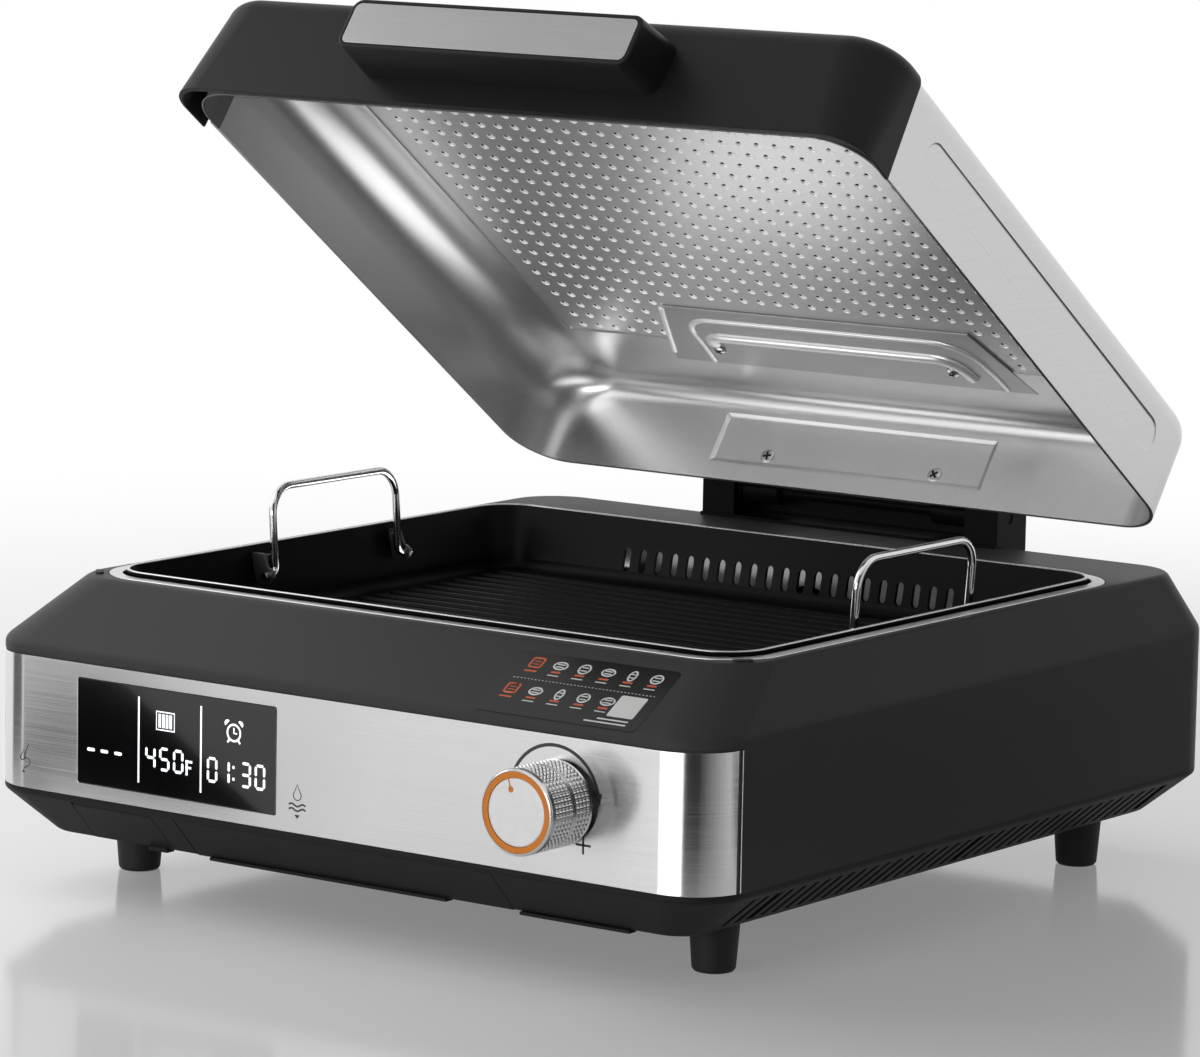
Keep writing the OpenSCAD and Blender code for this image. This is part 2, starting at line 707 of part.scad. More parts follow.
module grill_pan() color(black) difference() {
    union() {
        difference() {
            loft([[pan_z, outline(pan_foot_q)], [pan_top, outline(pan_q)]]);
            draft = pan_taper / (pan_top - pan_z);
            loft([[pan_floor, outline(grow(pan_foot_q, draft * (pan_floor - pan_z) - pan_t))],
                [pan_top + 1, outline(grow(pan_q, draft - pan_t))]]);
        }
        ridge_room = (pan_foot_q[3] - pan_foot_q[2]) / 2 - 14;
        for (y = [-ridge_pitch * floor(ridge_room / ridge_pitch):ridge_pitch:ridge_room])
            rod(ridge_r, [pan_foot_q[0] + 12, (pan_foot_q[2] + pan_foot_q[3]) / 2 + y, pan_floor - 0.4],
                pan_foot_q[1] - pan_foot_q[0] - 24, "x");
    }
    slot_len = pan_taper + pan_t + 4;
    for (i = [0:smoke_slots - 1])
        translate([(i - (smoke_slots - 1) / 2) * smoke_pitch, pan_q[3] + 2 - slot_len, smoke_z]) {
            translate([-smoke_w / 2, 0, smoke_w / 2]) cube([smoke_w, slot_len, smoke_h - smoke_w]);
            for (z = [smoke_w / 2, smoke_h - smoke_w / 2]) rod(smoke_w / 2, [0, 0, z], slot_len, "y");
        }
    box([-pan_q[1], front_y, pan_z - 9], [pan_q[1], rear_y, pan_z]);
}

// Four lugs on the pan's side walls, bored for the handles' feet, each with a tab that stops the leg
module handle_ears() color(steel) for (side = [0, 1], y = [0, 1]) mirror([side, 0, 0])
    translate([0, mid_y, 0]) mirror([0, y, 0]) difference() {
        union() {
            translate([0, bail_w / 2 + ear_gap + ear_plate, 0]) rotate([90, 0, 0]) linear_extrude(ear_plate)
            {
                polygon([[pivot_x, pivot_z - 4], [pan_in(pivot_z - 4) - 0.05, pivot_z - 4],
                    [pan_in(pivot_z + stop_high) - 0.05, pivot_z + stop_high],
                    [pivot_x + wire_r + 1, pivot_z + stop_high], [pivot_x, pivot_z + 4]]);
                translate([pivot_x, pivot_z]) circle(4);
            }
            translate([pivot_x, 0, pivot_z]) rotate([0, bail_lean, 0])
                box([wire_r + 0.1, bail_w / 2 - wire_r, stop_high - 4],
                    [wire_r + 1.8, bail_w / 2 + ear_gap + 1, stop_high - 0.5]);
        }
        rod(wire_r + shaft_gap, [pivot_x, bail_w / 2 - 20, pivot_z], 40, "y");
    }

// Wire handle on the right, with its feet turned outwards along its pivot
module wire_handle() translate([pivot_x, mid_y, pivot_z]) rotate([0, bail_lean, 0])
    for (y = [0, 1]) mirror([0, y, 0]) {
        leg = bail_w / 2;
        rod(wire_r, [0, leg + foot_bend, 0], stub, "y");
        translate([0, leg + foot_bend, foot_bend]) rotate([0, -90, 0]) rotate([0, 0, 180])
            rotate_extrude(angle = 90) translate([foot_bend, 0]) circle(wire_r);
        rod(wire_r, [0, leg, foot_bend], bail_h - foot_bend - wire_bend, "z");
        translate([0, leg - wire_bend, bail_h - wire_bend]) rotate([0, -90, 0])
            rotate_extrude(angle = 90) translate([wire_bend, 0]) circle(wire_r);
        rod(wire_r, [0, 0, bail_h], leg - wire_bend, "y");
    }
module right_handle() color("silver") wire_handle();
module left_handle() color("silver") mirror([1, 0, 0]) wire_handle();

// Box behind the well that leads smoke from the pan's slots down to the fan
duct_low = fan_z - scroll_r + 6;
duct_high = window_z + window_h + 3;
module smoke_duct() color(steel) difference() {
    box([-duct_half, duct_front, duct_low], [duct_half, duct_front + duct_d, duct_high]);
    box([duct_wall - duct_half, duct_front + duct_wall, duct_low + duct_wall],
        [duct_half - duct_wall, duct_front + duct_d - duct_wall, duct_high - duct_wall]);
    box([-window_half, duct_front - 1, window_z],
        [window_half, duct_front + duct_wall + 1, window_z + window_h]);
    rod(fan_r - 8, [fan_x, duct_front + 4, fan_z], duct_d, "y");
}

// Outline of the fan's scroll in (x, z), drawn in by d
module scroll(d) {
    low = floor_top + seat_gap - d;
    translate([fan_x, fan_z]) circle(scroll_r - d);
    translate([fan_x + d, low]) square([scroll_r - 2 * d, fan_z - low]);
}

module fan_housing() color(charcoal) difference() {
    translate([0, fan_front + fan_d, 0]) rotate([90, 0, 0]) linear_extrude(fan_d) scroll(0);
    translate([0, fan_front + fan_d - 1.5, 0]) rotate([90, 0, 0]) linear_extrude(fan_d - 3) scroll(1.5);
    rod(fan_r - 8, [fan_x, fan_front - 1, fan_z], 4, "y");
    rod(6, [fan_x, fan_front + fan_d - 3, fan_z], 5, "y");
}

module fan_motor() color("silver") difference() {
    rod(motor_r, [fan_x, motor_front, fan_z], motor_d, "y");
    rod(fan_shaft_r + shaft_gap, [fan_x, motor_front - 1, fan_z], motor_d - 3, "y");
}

wheel_front = fan_front + (fan_d - fan_w) / 2;
shaft_front = wheel_front + 3;
module fan_shaft() color("silver")
    rod(fan_shaft_r, [fan_x, shaft_front, fan_z], motor_front + motor_d - 5 - shaft_front, "y");

module fan_impeller() color(charcoal) translate([fan_x, wheel_front, fan_z]) rotate([-90, 0, 0])
difference() {
    union() {
        translate([0, 0, fan_w - 2]) cylinder(r = fan_r, h = 2);
        translate([0, 0, 3]) cylinder(r = 6, h = fan_w - 3);
        difference() {
            cylinder(r = fan_r, h = 1.5);
            translate([0, 0, -1]) cylinder(r = fan_r - 9, h = 4);
        }
        for (i = [0:blade_count - 1]) rotate([0, 0, i * 360 / blade_count]) translate([fan_r - 8.5, 0, 0.5])
            rotate([0, 0, 35]) cube([9, 1.2, fan_w - 1.5]);
    }
    translate([0, 0, -1]) cylinder(r = fan_shaft_r + shaft_gap, h = fan_w + 2);
    difference() {
        translate([0, 0, -2]) cylinder(r = fan_r + 6, h = fan_w + 4);
        translate([0, 0, -3]) cylinder(r = fan_r, h = fan_w + 6);
    }
}

tray_q = [-tray_half, tray_half, tray_front_y, tray_front_y + tray_d, 6];
tray_lip_q = [-tray_lip_half, tray_lip_half, tray_q[2], tray_q[3], 6];
tray_top = tray_low + tray_h;
module drip_tray() color("silver") difference() {
    union() {
        plate(tray_q, tray_low, tray_top);
        plate(tray_lip_q, tray_top - tray_wall, tray_top);
    }
    plate(grow(tray_q, -tray_wall), tray_low + tray_wall, tray_top + 1);
}

// Tray front: a panel flush with the skirt, a finger groove under it and two gussets to the tray
module tray_front() color(black) difference() {
    union() {
        on_skirt() box([-tray_w / 2, panel_top, 0], [tray_w / 2, skirt_len, panel_t]);
        intersection() {
            for (x = [-tray_w / 3, tray_w / 3])
                box([x - 1, front_y, tray_low + 1], [x + 1, tray_front_y, tray_top]);
            on_skirt() box([-tray_w / 2, 0, 0.5], [tray_w / 2, skirt_len, 40]);
        }
    }
    on_skirt() box([-tray_w / 2 + 9, skirt_len - 5, 1.2], [tray_w / 2 - 9, skirt_len + 1, panel_t + 1]);
}

module tray_runners() color(steel) for (side = [0, 1]) mirror([side, 0, 0])
    box([runner_half, tray_q[2] + 6, floor_top],
        [runner_half + runner_w, tray_q[3] - 4, tray_top - tray_wall - 0.3]);

flap_left = flap_x - flap_w / 2;
flap_right = flap_x + flap_w / 2;
flap_low = flap_top + flap_len;
module probe_flap() color(black) on_skirt() difference() {
    union() {
        box([flap_left, flap_top, 0], [flap_right, flap_low, panel_t]);
        rod(knuckle_r, [flap_left, flap_top, knuckle_r], flap_w, "x");
        box([flap_right - 14, flap_low - 2, -1.5], [flap_right - 3, flap_low, 0.5]);
    }
    rod(flap_pin_r + shaft_gap, [flap_left - 1, flap_top, knuckle_r], flap_w + 2, "x");
}

module flap_pin() color("silver") on_skirt()
    rod(flap_pin_r, [flap_left - cheek_t + 0.2, flap_top, knuckle_r], flap_w + 2 * cheek_t - 0.4, "x");

module probe_socket() color("gray") difference() {
    union() {
        rod(5, [flap_x, socket_y - 1, socket_z], 12, "y");
        rod(6.5, [flap_x, socket_y - 3, socket_z], 2.8, "y");
    }
    rod(1.75, [flap_x, socket_y - 4, socket_z], 12, "y");
}

// Places at the four corners, each given as a share of x and y from the middle of the casing
module corners(x, y, z) for (i = [-1, 1], j = [-1, 1]) translate([i * x, mid_y + j * y, z]) children();

module foot(x, y) color(black) translate([x * foot_x, foot_at(y), 0]) rotate_extrude()
    polygon([[foot_screw_r + shaft_gap, foot_h], [foot_top_r, foot_h], [foot_r, 1.2], [foot_r - 1.2, 0],
        [5.5, 0], [5.5, foot_h / 2], [foot_screw_r + shaft_gap, foot_h / 2]]);

module foot_screws() color("silver") for (x = [-1, 1], y = [-1, 1]) translate([x * foot_x, foot_at(y), 0]) {
    translate([0, 0, foot_h / 2 - 3]) cylinder(r = 4, h = 2.9);
    translate([0, 0, foot_h / 2 - 1]) cylinder(r = foot_screw_r, h = foot_h / 2 + floor_t + foot_boss_h);
}

module housing_screws() color("silver") corners(post_x, post_y, floor_z) {
    cylinder(r = case_head_r, h = case_head_h);
    cylinder(r = case_screw_r, h = skirt_h + skirt_lip + post_gap + post_len - 4);
}

// Pad let into the rim at the right front corner, just outside the trim ring
module bumper(gap, low, high) translate([trim_q[1] - trim_corner_r, trim_q[2] + trim_corner_r, low])
    rotate([0, 0, -pad_turn]) translate([pad_out, 0, 0]) linear_extrude(high - low) {
        square([4 + 2 * gap, 6], center = true);
        for (y = [-3, 3]) translate([0, y]) circle(2 + gap);
    }
module rim_bumpers() color(black) for (side = [0, 1]) mirror([side, 0, 0])
    bumper(0, rim_z - 1.5, lid_z - bezel_drop - 0.3);

// Rear shoulder's place at a depth below the rim
function shoulder_y(d) = rim_rear + rear_slope * d / slope_h;

// Two ears on a common base with a wall behind the pin, each ear reaching down over the rear shoulder
module hinge_tower() color(black) difference() {
    union() {
        box([-tower_half, tower_front - 2, rim_z], [tower_half, tower_rear, rim_z + tower_base_t]);
        box([-ear_inner - 1, tower_rear - tower_web, rim_z], [ear_inner + 1, tower_rear, hinge_z + 1]);
        for (side = [0, 1]) mirror([side, 0, 0]) along_x(ear_inner, tower_half)
            polygon([[tower_front, rim_z], [rim_rear + 0.1, rim_z],
                [shoulder_y(tower_drop) + 0.1, rim_z - tower_drop], [tower_rear - 3, rim_z - tower_drop],
                [tower_rear, rim_z - 3], [tower_rear, hinge_z + 1], [hinge_y + 5, hinge_z + tower_rise],
                [tower_front + 1.5, hinge_z + tower_rise], [tower_front, hinge_z + tower_rise - 1.5]]);
    }
    rod(hinge_pin_r + shaft_gap, [-tower_half - 1, hinge_y, hinge_z], 2 * tower_half + 2, "x");
}

module hinge_pin() color("silver")
    rod(hinge_pin_r, [0.5 - tower_half, hinge_y, hinge_z], 2 * tower_half - 1, "x");

module friction_washers() color("silver") for (side = [0, 1]) mirror([side, 0, 0]) difference() {
    rod(8, [barrel_half + 0.3, hinge_y, hinge_z], 1.4, "x");
    rod(hinge_pin_r + shaft_gap, [barrel_half - 1, hinge_y, hinge_z], 4, "x");
}

module lid_screw_holes(gap) for (x = [-1, 1])
    rod(lid_screw_r + gap, [x * hinge_screw_x, lid_rear - 8, lid_z + hinge_screw_t], 16, "y");

// Outline of the ring groove pressed into the lid's sides, in (y, z), drawn in by d
module groove_shape(d) rounded([groove_front + d, groove_rear - d,
    lid_z + groove_low + d, lid_z + groove_high - d, (groove_high - groove_low) / 2 - d - 0.01]);

module shell_dome(d) dome(grow(lid_q, -d), lid_h - d, lid_edge_r - d, lid_edge_r - d, lid_edge_r - d);

// Outer sheet of the lid, open at the front where the bezel closes it
module lid_shell() color(steel) lid_pose() difference() {
    shell_dome(0);
    translate([0, 0, -0.01]) shell_dome(lid_t);
    box([-half_w, lid_front - 9, lid_z - 1], [half_w, bezel_rear + 0.2, lid_z + lid_h + 1]);
    lid_screw_holes(seat_gap);
    for (side = [0, 1]) mirror([side, 0, 0]) along_x(rim_half - groove_deep, rim_half + 1) difference() {
        groove_shape(0);
        groove_shape(groove_w);
    }
}

module liner_dome(d) translate([0, 0, d > 0 ? -0.01 : 0])
    dome(grow(liner_q, -d), liner_top - d, liner_side_r - d, liner_rear_r - d, liner_front_r - d);

module lid_liner() color(steel) lid_pose() difference() {
    liner_dome(0);
    liner_dome(sheet_t);
    box([-reflector_half, reflector_front, ceiling_z - 3], [reflector_half, reflector_rear, ceiling_z + 1]);
    lid_screw_holes(seat_gap);
    stiffener_bolts(1.6 + seat_gap, -3, 3);
}

// Perforated sheet over the opening in the liner's ceiling, bare where the stiffener lies
module reflector_panel() color(steel) lid_pose() translate([0, 0, ceiling_z + 0.1]) linear_extrude(sheet_t)
difference() {
    reflector_w = 2 * (reflector_half + reflector_lap);
    reflector_d = reflector_rear - reflector_front + 2 * reflector_lap;
    translate([-reflector_w / 2, reflector_front - reflector_lap]) square([reflector_w, reflector_d]);
    columns = floor((reflector_half - 4) / hole_pitch);
    rows = floor((reflector_rear - reflector_front - 8) / hole_pitch);
    for (i = [-columns:columns], j = [0:rows]) {
        y = reflector_rear - 4 - j * hole_pitch;
        if (abs(i * hole_pitch) > stiffener_half - 2 || y < stiffener_front - 4)
            translate([i * hole_pitch, y]) circle(hole_r, $fn = 16);
    }
}

stiffener_z = ceiling_z - sheet_t - stiffener_t - 0.1;
module stiffener_bolts(r, low, high) for (x = [-1, 1])
    rod(r, [x * (rib_half + 10), stiffener_rear - 14, stiffener_z + low], high - low + stiffener_t, "z");

// Pressed plate under the liner's ceiling: wider at the rear, with a raised rib
module lid_stiffener() color(steel) lid_pose() difference() {
    union() {
        translate([0, 0, stiffener_z]) linear_extrude(stiffener_t)
            polygon([[-stiffener_half, stiffener_rear], [stiffener_taper - stiffener_half, stiffener_front],
                [stiffener_half - stiffener_taper, stiffener_front], [stiffener_half, stiffener_rear]]);
        translate([0, stiffener_rear - 30, stiffener_z - rib_drop]) linear_extrude(rib_drop + 0.2) {
            square([2 * rib_half - rib_w, rib_w], center = true);
            for (x = [-1, 1]) translate([x * (rib_half - rib_w / 2), 0]) circle(rib_w / 2);
        }
    }
    stiffener_bolts(1.6 + shaft_gap, -8, 3);
}

module stiffener_screws() color("silver") lid_pose() {
    stiffener_bolts(3.6, -1.8 - stiffener_t, -stiffener_t);
    stiffener_bolts(1.6, -1.9, 1.6);
}

// Share of the bezel's spread left at height t above the lid's edge
function spread(t) = max(0, 1 - (t + bezel_drop) / (bezel_top - bezel_front_r + bezel_drop));

// Solid inside the bezel's outer face, or inside its inner face when its walls are taken off
module bezel_solid(side_wall, front_wall) {
    h = bezel_top - side_wall;
    side_r = bezel_side_r - side_wall;
    front_r = bezel_front_r - side_wall;
    round_levels = [for (i = [0:dome_steps]) h - front_r * (1 - sin(90 * i / dome_steps))];
    levels = concat([-bezel_drop, 0], round_levels);
    translate([0, 0, lid_z - (side_wall > 0 ? 0.01 : 0)]) loft([for (t = levels)
        let (k = spread(t), g = bezel_proud + bezel_flare * k,
            s = edge_in(t, h, side_r), f = edge_in(t, h, front_r), x = rim_half + g - side_wall - s,
            r = lid_corner_r + (bezel_corner_r - lid_corner_r) * k - side_wall)
        [t, outline([-x, x, lid_front - g + front_wall + f, lid_rear, max(r - min(s, f), 3)])]]);
}

// Black front frame: closes the shell's open front, spreads and reaches below it
module lid_bezel() color(black) lid_pose() difference() {
    intersection() {
        bezel_solid(0, 0);
        box([-half_w, front_y, lid_z - bezel_drop], [half_w, bezel_rear, lid_z + lid_h + 9]);
    }
    translate([0, 0, -0.01]) bezel_solid(bezel_proud + lid_t, bezel_proud + bezel_t);
    handle_bolts(1.6 + seat_gap);
}

handle_mid = (handle_low + handle_high) / 2;
module handle_bolts(r) for (x = [-1, 1])
    rod(r, [x * handle_w / 3, lid_front - 14, lid_z + handle_mid], 14 + bezel_t, "y");

// Lofted block that narrows towards its face, with a shallow pocket for the plate
handle_face_q = [6 - handle_w / 2, handle_w / 2 - 6, handle_low - 2, handle_high - 7.5, 6.5];
module on_bezel() translate([0, lid_front, lid_z]) rotate([90, 0, 0]) children();
module lid_handle() color(black) lid_pose() difference() {
    on_bezel() difference() {
        loft([[-1, outline([-handle_w / 2, handle_w / 2, handle_low, handle_high, 10])],
            [handle_reach - 1.4, outline(grow(handle_face_q, 1.5))], [handle_reach, outline(handle_face_q)]]);
        plate(grow(handle_face_q, -plate_in + 0.1), handle_reach - plate_deep, handle_reach + 1);
    }
    translate([0, -0.1, 0]) bezel_solid(0, 0);
    handle_bolts(1.6 + shaft_gap);
}

module handle_plate() color("silver") lid_pose() on_bezel()
    plate(grow(handle_face_q, -plate_in), handle_reach - plate_deep + 0.05, handle_reach + 0.2);

bolt_head_r = 3.4;
bolt_seat = bezel_t - bezel_flare * spread(handle_mid + bolt_head_r) + 0.05;
module handle_screws() color("silver") lid_pose() for (x = [-1, 1])
    translate([x * handle_w / 3, lid_front + bolt_seat, lid_z + handle_mid]) {
        rod(1.6, [0, -bezel_t - 9, 0], bezel_t + 10, "y");
        rod(bolt_head_r, [0, 0, 0], 2.2, "y");
    }

// Folded bracket behind the lid: a plate on the rear wall and two arms with barrels round the pin
module hinge_bracket() color(black) lid_pose() difference() {
    union() {
        box([-barrel_half, lid_rear + 0.1, lid_z + 4],
            [barrel_half, lid_rear + 3, lid_z + lid_h - lid_edge_r - 1]);
        for (side = [0, 1]) mirror([side, 0, 0]) along_x(barrel_half - arm_w, barrel_half) {
            translate([lid_rear + 0.1, hinge_z - 2]) square([hinge_lead, 8]);
            translate([hinge_y, hinge_z]) circle(barrel_r);
        }
    }
    rod(hinge_pin_r + shaft_gap, [-half_w, hinge_y, hinge_z], body_w, "x");
    lid_screw_holes(shaft_gap);
}

module hinge_backing() color(steel) lid_pose() difference() {
    translate([0, backing_y, lid_z]) rotate([90, 0, 0])
        plate([-backing_w / 2, backing_w / 2, backing_low, backing_high, 3], 0, backing_t);
    lid_screw_holes(shaft_gap);
}

module hinge_screws() color("silver") lid_pose() for (x = [-1, 1])
    translate([x * hinge_screw_x, backing_y - backing_t, lid_z + hinge_screw_t]) {
        rod(4, [0, -1.6, 0], 1.55, "y");
        rod(lid_screw_r, [0, -0.1, 0], 10, "y");
    }

lower_housing();
upper_shell();
fascia_band();
display_glass();
display_board();
knob_board();
encoder();
encoder_shaft();
knob_sleeve();
knob_ring();
knob_face();
power_board();
power_inlet();
trim_ring();
well_liner();
heating_element();
element_supports();
temperature_sensor();
grill_pan();
handle_ears();
left_handle();
right_handle();
smoke_duct();
fan_housing();
fan_motor();
fan_shaft();
fan_impeller();
drip_tray();
tray_front();
tray_runners();
probe_flap();
flap_pin();
probe_socket();
foot(-1, -1);  // foot_front_left
foot(1, -1);  // foot_front_right
foot(-1, 1);  // foot_rear_left
foot(1, 1);  // foot_rear_right
foot_screws();
housing_screws();
rim_bumpers();
hinge_tower();
hinge_pin();
friction_washers();
lid_shell();
lid_liner();
reflector_panel();
lid_stiffener();
stiffener_screws();
lid_bezel();
lid_handle();
handle_plate();
handle_screws();
hinge_bracket();
hinge_backing();
hinge_screws();
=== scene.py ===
import json
import math
from contextlib import contextmanager

import bmesh
import bpy
from mathutils import Matrix, Vector


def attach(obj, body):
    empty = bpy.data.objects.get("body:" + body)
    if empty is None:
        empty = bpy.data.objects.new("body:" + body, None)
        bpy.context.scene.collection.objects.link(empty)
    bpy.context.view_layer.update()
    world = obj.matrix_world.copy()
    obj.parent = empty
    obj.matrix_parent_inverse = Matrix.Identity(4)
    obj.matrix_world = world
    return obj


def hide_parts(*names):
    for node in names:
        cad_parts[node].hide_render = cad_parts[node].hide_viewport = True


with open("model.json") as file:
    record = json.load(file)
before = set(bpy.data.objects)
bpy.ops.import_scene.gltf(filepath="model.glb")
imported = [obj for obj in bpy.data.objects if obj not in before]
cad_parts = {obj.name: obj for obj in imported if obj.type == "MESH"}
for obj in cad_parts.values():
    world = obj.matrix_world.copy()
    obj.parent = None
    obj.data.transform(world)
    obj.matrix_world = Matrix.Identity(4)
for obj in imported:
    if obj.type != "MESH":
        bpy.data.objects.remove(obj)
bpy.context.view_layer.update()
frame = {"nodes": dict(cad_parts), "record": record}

# The view: a long lens off the right front corner, a little above the rim and tilted by a degree.
# Its place was solved from the casing's corners. Lengths are millimetres until a mesh is made.
MM = 0.001
VIEW_TURN, VIEW_RISE, VIEW_ROLL = (math.radians(a) for a in (35.91, 8.33, 1.10))
VIEW_TARGET, VIEW_DISTANCE = Vector((-8.95, 11, 168.54)), 2786.2
SENSOR_W, LENS_PIXELS, PICTURE_W, CLIP_END = 36, 5660.56, 1200, 50


def placed(name, data):
    """An object of the scene, made from its data."""
    thing = bpy.data.objects.new(name, data)
    bpy.context.scene.collection.objects.link(thing)
    return thing


def axes(at, x, y, z):
    """A frame at a point, given its three directions."""
    return Matrix.Translation(at) @ Matrix((x, y, z)).transposed().to_4x4()


view_right = Vector((math.cos(VIEW_TURN), math.sin(VIEW_TURN), 0))
view_back = Vector((math.sin(VIEW_TURN) * math.cos(VIEW_RISE), -math.cos(VIEW_TURN) * math.cos(VIEW_RISE),
                    math.sin(VIEW_RISE)))
view_up = view_back.cross(view_right)
tilted_right = view_right * math.cos(VIEW_ROLL) + view_up * math.sin(VIEW_ROLL)
tilted_up = view_up * math.cos(VIEW_ROLL) - view_right * math.sin(VIEW_ROLL)
camera_data = bpy.data.cameras.new("camera")
camera_data.sensor_width = SENSOR_W
camera_data.sensor_fit = "HORIZONTAL"
camera_data.lens = LENS_PIXELS / PICTURE_W * SENSOR_W
camera_data.clip_end = CLIP_END
camera = placed("camera", camera_data)
camera.matrix_world = axes((VIEW_TARGET + view_back * VIEW_DISTANCE) * MM, tilted_right, tilted_up, view_back)
bpy.context.scene.camera = camera

# Lower housing: a black moulding of fine-grained plastic whose skirt slopes in towards the feet.
# Slots along both sides let cooling air in; a drawer and a flap are let into the front slope.
BODY = (-215, 215, -212, 234, 28)  # left, right, front, rear, corner radius
SKIRT = (-190, 190, -192, 214, 15)
FLOOR_Z, FLOOR_TOP, SKIRT_TOP, SEAM_Z = 24.5, 27, 45.5, 48
WALL, FLOOR_EDGE = 3, 9
MID_Y = 11
VENTS, VENT_PITCH, VENT_W, WIDE_VENT_W, VENT_MARGIN = 37, 10, 3.5, 6, 5
WIDE_VENT_FIRST, WIDE_VENT_EVERY = 2, 17
PANEL_GAP = 0.4
DRAWER = (-94, 94, 1.5, 29)  # left, right, down the front slope from, to
FLAP = (-158, -109, 1.5, 29)


def grown(q, d):
    """A plan rectangle grown by d on every side."""
    return (q[0] - d, q[1] + d, q[2] - d, q[3] + d, max(q[4] + d, 1))


def between(a, b, share):
    """A plan rectangle part of the way from one to another."""
    return tuple(m + (n - m) * share for m, n in zip(a, b))


def arc(x, y, r, start, end, steps=28, tall=None):
    """Points on a flat arc between two angles, or on part of an ellipse when its height is given."""
    tall = r if tall is None else tall
    turns = [math.radians(start + (end - start) * i / steps) for i in range(steps + 1)]
    return [(x + r * math.cos(a), y + tall * math.sin(a)) for a in turns]


def outline(q, steps=14):
    """Points round a plan rectangle with rounded corners, from the right front corner."""
    left, right, front, rear, r = q
    corners = ((right - r, front + r, -90), (right - r, rear - r, 0),
               (left + r, rear - r, 90), (left + r, front + r, 180))
    return [point for x, y, a in corners for point in arc(x, y, r, a, a + 90, steps)]


def level(q, z):
    """A plan rectangle at a height."""
    return [(x, y, z) for x, y in outline(q)]


def eased(points, reach, steps=4):
    """A path whose inner corners are rounded, each from its reach before the corner to as far after."""
    path = [Vector(points[0])]
    for before, corner, after, r in zip(points, points[1:], points[2:], reach):
        before, corner, after = Vector(before), Vector(corner), Vector(after)
        start = corner + (before - corner).normalized() * min(r, (before - corner).length * 0.5)
        end = corner + (after - corner).normalized() * min(r, (after - corner).length * 0.5)
        for i in range(steps + 1 if r else 1):
            u = i / steps
            path.append(start * (1 - u) ** 2 + corner * (2 * u * (1 - u)) + end * u * u if r else corner)
    return path + [Vector(points[-1])]


@contextmanager
def opened(mesh):
    """A mesh opened for work on its points and faces, and written back afterwards."""
    bm = bmesh.new()
    bm.from_mesh(mesh)
    yield bm
    bm.to_mesh(mesh)
    bm.free()


def shape(name, verts, faces, closed=False):
    """A piece from points in millimetres, with doubled points joined."""
    mesh = bpy.data.meshes.new(name)
    mesh.from_pydata([Vector(v) * MM for v in verts], [], faces)
    with opened(mesh) as bm:
        bmesh.ops.remove_doubles(bm, verts=bm.verts, dist=2e-6)
        if closed:
            bmesh.ops.recalc_face_normals(bm, faces=bm.faces)
    return placed(name, mesh)


def skin(name, rings, caps=(False, False), loop=False):
    """A piece drawn through rings of points, closed at either end or joined end to end."""
    n, count = len(rings[0]), len(rings)
    faces = [(a * n + i, a * n + (i + 1) % n, b * n + (i + 1) % n, b * n + i)
             for a, b in zip(range(count), list(range(1, count)) + ([0] if loop else [])) for i in range(n)]
    if caps[0]:
        faces.append(tuple(range(n - 1, -1, -1)))
    if caps[1]:
        faces.append(tuple(range((count - 1) * n, count * n)))
    return shape(name, [p for ring in rings for p in ring], faces, all(caps) or loop)


def blocks(name, spans):
    """Separate boxes in one mesh, each given as a frame, a low corner and a high corner."""
    verts, faces = [], []
    for place, low, high in spans:
        base = len(verts)
        xs, ys, zs = zip(low, high)
        verts += [place @ Vector((x, y, z)) for x in xs for y in ys for z in zs]
        faces += [tuple(base + i for i in f) for f in
                  ((0, 1, 3, 2), (4, 6, 7, 5), (0, 4, 5, 1), (2, 3, 7, 6), (0, 2, 6, 4), (1, 5, 7, 3))]
    return shape(name, verts, faces, closed=True)


def settle(piece):
    """Makes a piece's modifiers part of its mesh."""
    bpy.context.view_layer.update()
    solid = bpy.data.meshes.new_from_object(piece.evaluated_get(bpy.context.evaluated_depsgraph_get()))
    piece.modifiers.clear()
    piece.data = solid


def cut(piece, *cutters, solver="EXACT"):
    """Takes closed cutters out of a piece."""
    for cutter in cutters:
        hole = piece.modifiers.new("hole", "BOOLEAN")
        hole.object, hole.operation, hole.solver = cutter, "DIFFERENCE", solver
    settle(piece)
    for cutter in cutters:
        bpy.data.objects.remove(cutter)


def soften(piece, angle=32, edge=0, segments=2):
    """Shades a piece's flats as flats, and rounds edges sharper than an angle by a width in millimetres."""
    if edge:
        bevel = piece.modifiers.new("edge", "BEVEL")
        bevel.width, bevel.segments, bevel.limit_method = edge * MM, segments, "ANGLE"
        bevel.angle_limit, bevel.use_clamp_overlap = math.radians(angle), True
        settle(piece)
    piece.data.shade_smooth()
    piece.data.set_sharp_from_angle(angle=math.radians(angle))
    normals = piece.modifiers.new("flats", "WEIGHTED_NORMAL")
    normals.keep_sharp, normals.weight = True, 80
    return piece


def dress(piece, body, slot, material, *nodes):
    """Gives a piece its finish, hangs it on the body it rides on, and hides the built solids it stands for.
    """
    if piece.data.materials:
        piece.data.materials.clear()
    piece.data.materials.append(material)
    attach(piece, body)
    if nodes:
        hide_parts(*nodes)
    return piece


